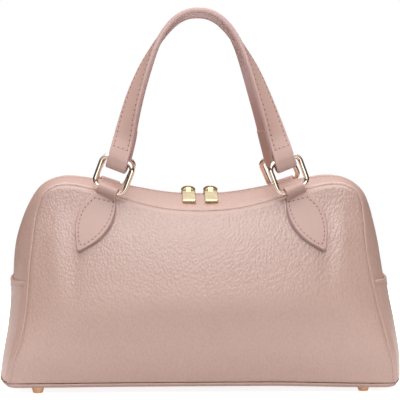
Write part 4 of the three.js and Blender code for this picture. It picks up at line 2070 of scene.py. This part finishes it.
@dataclass(frozen=True)
class Zip:
    """Closed two way zip: woven tape, interlocked teeth, and two sliders with pulls."""

    form: BagForm
    tape_half: float = 9.0
    tape_under: float = 2.8
    tape_thick: float = 0.7
    tooth_pitch: float = 1.5
    tooth_under: float = 1.5
    slider_x: float = 9.5
    slider_length: float = 12.0
    slider_width: float = 7.4
    hinge_rise: float = 3.0
    bar: float = 0.9
    pull_length: float = 31.0
    pull_width: float = 11.0
    pull_thick: float = 1.8
    pull_rest: float = 13.0
    lip: float = 1.4
    knuckle: float = 2.1
    bore: float = 1.3
    knuckle_width: float = 5.0
    pull_bow: float = 0.5
    score_at: float = 170.0
    loop: float = 8.5
    loop_tilt: float = 12.0
    tape_rows: int = 300
    tape_columns: int = 25
    tape_round: float = 0.3
    tooth_half: Triple = (1.75, 0.62, 0.8)
    tooth_shift: float = 0.75
    tooth_square: float = 0.7
    zip_margin: float = 3.0
    plate_round: float = 0.4
    slider_taper: float = 0.1
    bail_reach: float = 5.3
    bail_bend: float = 2.7
    pull_start: float = 3.6
    end_round: float = 0.5
    score_width: float = 0.3
    score_depth: float = 0.22

    def stations(self, count: int) -> Array:
        """Stations along the zip from the right end to the left."""
        end = self.form.zip_end + 0.012
        return np.linspace(end, 2 * self.form.middle - end, count)

    @property
    def hinge_z(self) -> float:
        """Height of the hinge bars."""
        station = self.form.middle - self.slider_x / SEAM[self.form.middle - 1].across
        return float(self.form.band(station, 0.0, self.hinge_rise)[2])

    def tape(self) -> Array:
        """Middle surface of the tape, a little under the crest of the strips.

        Returns:
            Grid of points.
        """
        station = self.stations(self.tape_rows)[:, None]
        y = np.linspace(-1.0, 1.0, self.tape_columns)[None] * self.tape_half
        return self.form.band(station, y, -self.tape_under)

    def teeth(self) -> Skin:
        """Teeth a pitch apart, on the two sides by turns: short rounded bars across the zip.

        Returns:
            All the teeth.
        """
        line = self.form.band(self.stations(1500), 0.0, -self.tooth_under)
        run = run_lengths(line)
        places = np.arange(self.zip_margin, run[-1] - self.zip_margin, self.tooth_pitch)
        at = along_line(line, run, places)
        along = unit(along_line(line, run, places + 0.4) - at)
        side = np.broadcast_to([0.0, 1.0, 0.0], along.shape)
        up = np.cross(along, side)
        up = up * np.sign(up[:, 2:3])
        odd = np.arange(len(places))[:, None] % 2
        sway = np.where(odd == 0, self.tooth_shift, -self.tooth_shift)
        frames = np.stack([side, along, up], 1) * np.array(self.tooth_half)[:, None]
        block = ball(6, 8)
        block = np.sign(block) * np.abs(block) ** self.tooth_square
        return copies(Skin.tube(block), at + side * sway, frames)

    def plate(self, half_x: float, half_y: float, corner: float, low: float, high: float) -> Skin:
        """Rectangular plate with round corners and edges, in rings from its underside to its top.

        Args:
            half_x: Half width.
            half_y: Half length.
            corner: Radius of the corners.
            low: Height of the underside.
            high: Height of the top.

        Returns:
            The closed plate.
        """
        radius = self.plate_round
        turn = np.linspace(0.0, np.pi / 2, 5)
        outward, upward = radius * (1 - np.sin(turn)), radius * (1 - np.cos(turn))
        spread = np.linspace(radius + 0.25, min(half_x, half_y) - 0.6, 6)
        insets = np.concatenate([spread[::-1], outward, upward, spread])
        sides = [low + upward, high - outward]
        heights = np.concatenate([np.full(6, low), *sides, np.full(6, high)])
        rings = [rounded_box(half_x - i, half_y - i, max(corner - i, 0.2), 7)[0] for i in insets]
        rise = np.broadcast_to(heights[:, None, None], (len(rings), len(rings[0]), 1))
        return Skin.tube(np.concatenate([np.stack(rings), rise], -1))

    def wire(self, path: Array) -> Skin:
        """Round wire along a flat path, with its section held square to the path.

        Args:
            path: Points of the path.

        Returns:
            The closed wire.
        """
        along = unit(np.gradient(path, axis=0))
        middle = path[len(path) // 2]
        normal = unit(np.cross(path[0] - middle, path[-1] - middle))
        across = np.cross(along, normal)
        angle = round_angles(14)[None, :, None]
        ring = across[:, None] * np.cos(angle) + normal * np.sin(angle)
        return Skin.tube(path[:, None] + self.bar * ring)

    def slider(self) -> Skin:
        """Slider about the middle of its hinge bar.

        It is a plate that narrows to its ends, a wire bail over it and a loop behind.

        Returns:
            The slider.
        """
        low, high = -0.8 - self.hinge_rise, 0.4 - self.hinge_rise
        half_length = self.slider_length / 2
        plate = self.plate(half_length, self.slider_width / 2, 2.2, low, high)
        plate.points[:, 1] *= 1.0 - self.slider_taper * (plate.points[:, 0] / half_length) ** 2
        turn = np.linspace(0.0, np.pi / 2, 7)
        reach, bend = self.bail_reach, self.bail_bend
        x, z = reach - bend * (1 - np.cos(turn)), -bend * (1 - np.sin(turn))
        corner = np.stack([x, 0.0 * turn, z], -1)
        half = np.concatenate([[[reach + 0.3, 0.0, high - 0.2]], corner, [[1.2, 0.0, 0.0]]])
        bail = self.wire(np.concatenate([half, half[::-1] * (-1, 1, 1)]))
        turn = np.linspace(0.0, np.pi, 25)
        back = self.loop * np.sin(turn)
        tilt = math.radians(self.loop_tilt)
        path = [reach * np.cos(turn), back * math.cos(tilt), back * math.sin(tilt)]
        loop = self.wire(np.stack(path, -1))
        return Skin.joined([plate, bail, loop])

    def thick_end(self) -> Skin:
        """Round bar across the end of a pull, with a scored line along its front darkened by painted
        shade and a painted dark reflection.

        Returns:
            The closed bar.
        """
        section = round_angles(28)
        turn = np.linspace(0.0, np.pi / 2, 5)
        ends = np.concatenate([-np.cos(turn), np.cos(turn[::-1])])
        size = np.concatenate([np.sin(turn), np.sin(turn[::-1])])[:, None]
        x = ends * self.end_round + np.sign(ends) * (self.pull_width / 2 - self.end_round)
        score = np.exp(-(((section - math.radians(self.score_at)) / self.score_width) ** 2))
        radius = self.lip - self.end_round * (1 - size) - self.score_depth * score * size
        y, z = (radius * wave(section) for wave in (np.cos, np.sin))
        bar = Skin.tube(np.stack([np.broadcast_to(x[:, None], y.shape), y, z], -1))
        # Painted shade and a painted dark reflection along the score, carried in the crease value.
        dark = np.broadcast_to(score * size, y.shape).ravel()
        return bar.valued("crease", np.append(dark, np.zeros(len(bar.points) - len(dark))))

    def knuckle_ring(self) -> Skin:
        """Ring of a pull round its hinge bar: a rounded rectangle carried round the bar.

        Returns:
            The closed ring.
        """
        angle, around = round_angles(20)[:, None], round_angles(16)
        shape = np.stack([np.cos(around), np.sin(around)], -1)
        half = (self.knuckle_width / 2, (self.knuckle - self.bore) / 2)
        shape = np.sign(shape) * np.abs(shape) ** 0.5 * half
        radius = (self.knuckle + self.bore) / 2 + shape[None, :, 1]
        y, z = (radius * wave(angle) for wave in (np.cos, np.sin))
        x = np.broadcast_to(shape[None, :, 0], y.shape)
        return Skin.tube(np.stack([x, y, z], -1), closed=True)

    def pull(self) -> Skin:
        """Pull about its hinge, hanging to the front: a knuckle, a neck and a plate with a thick end.

        The plate is bowed: it falls by bow * (y / half)^2 from its middle.

        Returns:
            The pull.
        """
        low, high = -self.pull_thick / 2, self.pull_thick / 2
        start = self.pull_start
        half = (self.pull_length - start) / 2
        plate = self.plate(self.pull_width / 2, half, 1.5, low, high)
        plate.points[:, 2] -= self.pull_bow * (plate.points[:, 1] / half) ** 2
        end_z = self.lip - self.pull_thick / 2 - self.pull_bow
        parts = [
            plate.moved(0.0, -start - half, 0.0),
            self.plate(self.knuckle_width / 2, 2.3, 0.5, low, high).moved(0.0, -3.7, 0.0),
            self.thick_end().moved(0.0, -self.pull_length, end_z),
            self.knuckle_ring(),
        ]
        return Skin.joined(parts).turned_x(self.pull_rest)

    def build(self, bench: Workbench) -> None:
        """Tape, teeth, sliders and pulls.

        Args:
            bench: Workbench that takes the pieces.
        """
        middle = self.tape()
        cloth = Skin.sheet(middle, self.tape_thick, self.tape_round).settled()
        tape = bench.put(cloth, "cloth_zip_tape", bench.tape, Slot.TAPE, "zip_tape")
        length = float(run_lengths(middle[:, self.tape_columns // 2])[-1])
        width = float(run_lengths(middle[self.tape_rows // 2])[-1])
        LOG.info("zip tape cut %.1f mm wide and %.1f mm long", width, length)
        bench.put(self.teeth().settled(), "metal_zip_teeth", bench.teeth, Slot.GOLD, "zip_teeth")
        slider, pull = self.slider(), self.pull()
        for side in Side:
            place = (side.value * self.slider_x, 0.0, self.hinge_z)
            name = f"zip_slider_{word(side)}"
            # The slider's darker gold is a painted dark reflection.
            bench.put(slider.moved(*place), f"metal_{name}", bench.aged, Slot.GOLD, name)
            name, body = f"zip_pull_{word(side)}", f"pull_{word(side)}"
            bench.put(pull.moved(*place), f"metal_{name}", bench.bright, Slot.GOLD, name, body)


class Shows(Enum):
    """What a soft light shows in."""

    ALL = "all"
    GLOSS = "gloss"
    MATTE = "matte"


class SoftBox(NamedTuple):
    """Soft light that faces the bag, with its distance and sizes in metres."""

    name: str
    azimuth: float
    elevation: float
    distance: float
    wide: float
    tall: float
    watts: float
    shows: Shows


def grey(tone: float) -> Paint:
    """Linear grey of a tone."""
    return (tone, tone, tone, 1.0)


@dataclass(frozen=True)
class Studio:
    """Camera, pale floor, soft boxes round the bag and broad light from overhead."""

    azimuth: float = -2.0
    elevation: float = 5.5
    distance: float = 1.7
    aim: Triple = (0.0006, 0.0, 0.15855)
    picture: float = 0.34344
    boxes: tuple[SoftBox, ...] = (
        SoftBox("key light", 0.0, 35.0, 1.6, 0.6, 1.0, 9.4, Shows.ALL),
        SoftBox("back light", 180.0, 36.0, 1.6, 1.2, 0.7, 1.0, Shows.ALL),
        SoftBox("front card", 0.0, -4.0, 1.9, 3.2, 0.65, 12.2, Shows.GLOSS),
        SoftBox("left fill", -110.0, 10.0, 1.6, 0.7, 1.0, 3.0, Shows.MATTE),
        SoftBox("right fill", 110.0, 10.0, 1.6, 0.7, 1.0, 2.4, Shows.MATTE),
    )
    top_spread: float = 70.0
    top_strength: float = 1.8
    overhead: float = 1.0
    eye_level: float = 0.03
    below: float = 0.55
    floor_tone: float = 0.95
    floor_bounce: float = 0.7
    floor_glow: float = 0.85
    floor_sheen: float = 0.3
    floor_x: Pair = (-800.0, 800.0)
    floor_y: Pair = (-250.0, 600.0)
    floor_spots: float = 0.03
    sensor: float = 36.0

    @staticmethod
    def toward(azimuth: float, elevation: float) -> Vector:
        """Direction from the bag to a place round it, with azimuth 0 in front."""
        a, e = math.radians(azimuth), math.radians(elevation)
        return Vector((math.sin(a) * math.cos(e), -math.cos(a) * math.cos(e), math.sin(e)))

    def put(self, name: str, data: Any, place: Vector, back: Vector) -> bpy.types.Object:
        """Puts a lamp or camera at a place.

        Args:
            name: Name of the lamp or camera.
            data: Blender's data of it.
            place: Where it goes.
            back: Direction that it looks away from.

        Returns:
            The object, linked to the scene.
        """
        made = bpy.data.objects.new(name, data)
        made.location = place
        made.rotation_mode = "QUATERNION"
        made.rotation_quaternion = (-back).to_track_quat("-Z", "Y")
        bpy.context.scene.collection.objects.link(made)
        return made

    def camera(self) -> None:
        """Camera in front, where the picture's width spans the named length at the aim."""
        back = self.toward(self.azimuth, self.elevation)
        data = bpy.data.cameras.new("camera")
        data.sensor_width = self.sensor
        data.lens = self.sensor * self.distance / self.picture
        place = Vector(self.aim) + back * self.distance
        bpy.context.scene.camera = self.put("camera", data, place, back)

    def floor(self) -> None:
        """Flat pale table, which throws back less light than it shows to the camera and in metal."""
        sides = np.linspace(*self.floor_x, 9), np.linspace(*self.floor_y, 9)
        x, y = np.meshgrid(*sides, indexing="ij")
        points = np.stack([x, y, 0.0 * x], -1).reshape(-1, 3)
        skin = Skin(points, Skin.grid_quads(*x.shape))
        shader = Shader("pale floor")
        tone = shader.ramp(shader.noise(shader.place(), 3.0), 0.3, 0.7, 0.0, self.floor_spots)
        rays = shader.add("ShaderNodeLightPath").outputs
        seen = rays["Is Camera Ray"]
        pale = shader.mix(seen, grey(self.floor_bounce), grey(self.floor_tone))
        glow = shader.math("MULTIPLY", seen, self.floor_glow)
        mirrored = shader.math("MULTIPLY", rays["Is Glossy Ray"], self.floor_sheen)
        sockets = {
            "Base Color": shader.mix(tone, pale, grey(0.8)),
            "Roughness": 0.9,
            "Specular IOR Level": 0.1,
            "Emission Strength": shader.math("ADD", glow, mirrored),
        }
        skin.to_object("floor", shader.finished(sockets))

    def light(self) -> None:
        """Soft boxes, some of them shown only in gloss or only in matte, and a light overhead."""
        for box in self.boxes:
            lamp = bpy.data.lights.new(box.name, "AREA")
            lamp.shape = "RECTANGLE"
            lamp.size, lamp.size_y = box.wide, box.tall
            lamp.energy = box.watts
            back = self.toward(box.azimuth, box.elevation)
            made = self.put(box.name, lamp, Vector(self.aim) + back * box.distance, back)
            made.visible_diffuse = box.shows is not Shows.GLOSS
            made.visible_glossy = box.shows is not Shows.MATTE
        top = bpy.data.lights.new("top light", "SUN")
        top.energy = self.top_strength
        top.angle = math.radians(self.top_spread)
        self.put("top light", top, Vector((0.0, 0.0, 3.0)), Vector((0.0, 0.0, 1.0)))

    def room(self) -> None:
        """Pale room: dim at eye level, brighter overhead and below, and plain white behind the bag."""
        world = bpy.data.worlds.new("pale room")
        world.use_nodes = True
        wiring = Wiring(world.node_tree)
        ray = wiring.add("ShaderNodeTexCoord").outputs["Generated"]
        height = wiring.add("ShaderNodeSeparateXYZ", {"Vector": ray}).outputs["Z"]
        above = wiring.ramp(height, 0.2, 0.85, self.eye_level, self.overhead)
        below = wiring.ramp(height, -0.75, -0.35, self.below, 0.0)
        strength = wiring.math("ADD", above, below)
        walls = wiring.add("ShaderNodeBackground", {"Color": grey(1.0), "Strength": strength})
        white = wiring.add("ShaderNodeBackground", {"Color": grey(1.0)})
        seen = wiring.add("ShaderNodeLightPath").outputs["Is Camera Ray"]
        shades = {0: seen, 1: walls.outputs["Background"], 2: white.outputs["Background"]}
        both = wiring.add("ShaderNodeMixShader", shades).outputs["Shader"]
        wiring.add("ShaderNodeOutputWorld", {"Surface": both})
        bpy.context.scene.world = world
        bpy.context.scene.view_settings.view_transform = "Standard"

    def build(self) -> None:
        """The whole studio."""
        self.camera()
        self.floor()
        self.light()
        self.room()


def main() -> None:
    """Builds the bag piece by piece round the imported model."""
    logging.basicConfig(level=logging.INFO, format="%(name)s: %(message)s")
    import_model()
    bench = Workbench()
    form, roll = BagForm(), SeamRoll()
    Studio().build()
    Panels(form).build(bench)
    Ends(form, roll).build(bench)
    TopStrips(form, roll, Stitching(pitch=3.6, thread=0.36, hole=0.4)).build(bench)
    BasePanel(form).build(bench)
    Feet().build(bench)
    front, back = Rings(), Rings(drop=3.0, tilt=15.0)
    for face, rings, rise in ((Face.FRONT, front, 126.0), (Face.BACK, back, 129.5)):
        rings.build(bench, face)
        Tabs(form, rings, Stitching(pitch=3.7)).build(bench, face)
        Handles(rings, Stitching(pitch=4.4), rise).build(bench, face)
    Zip(form).build(bench)


if __name__ == "__main__":
    main()
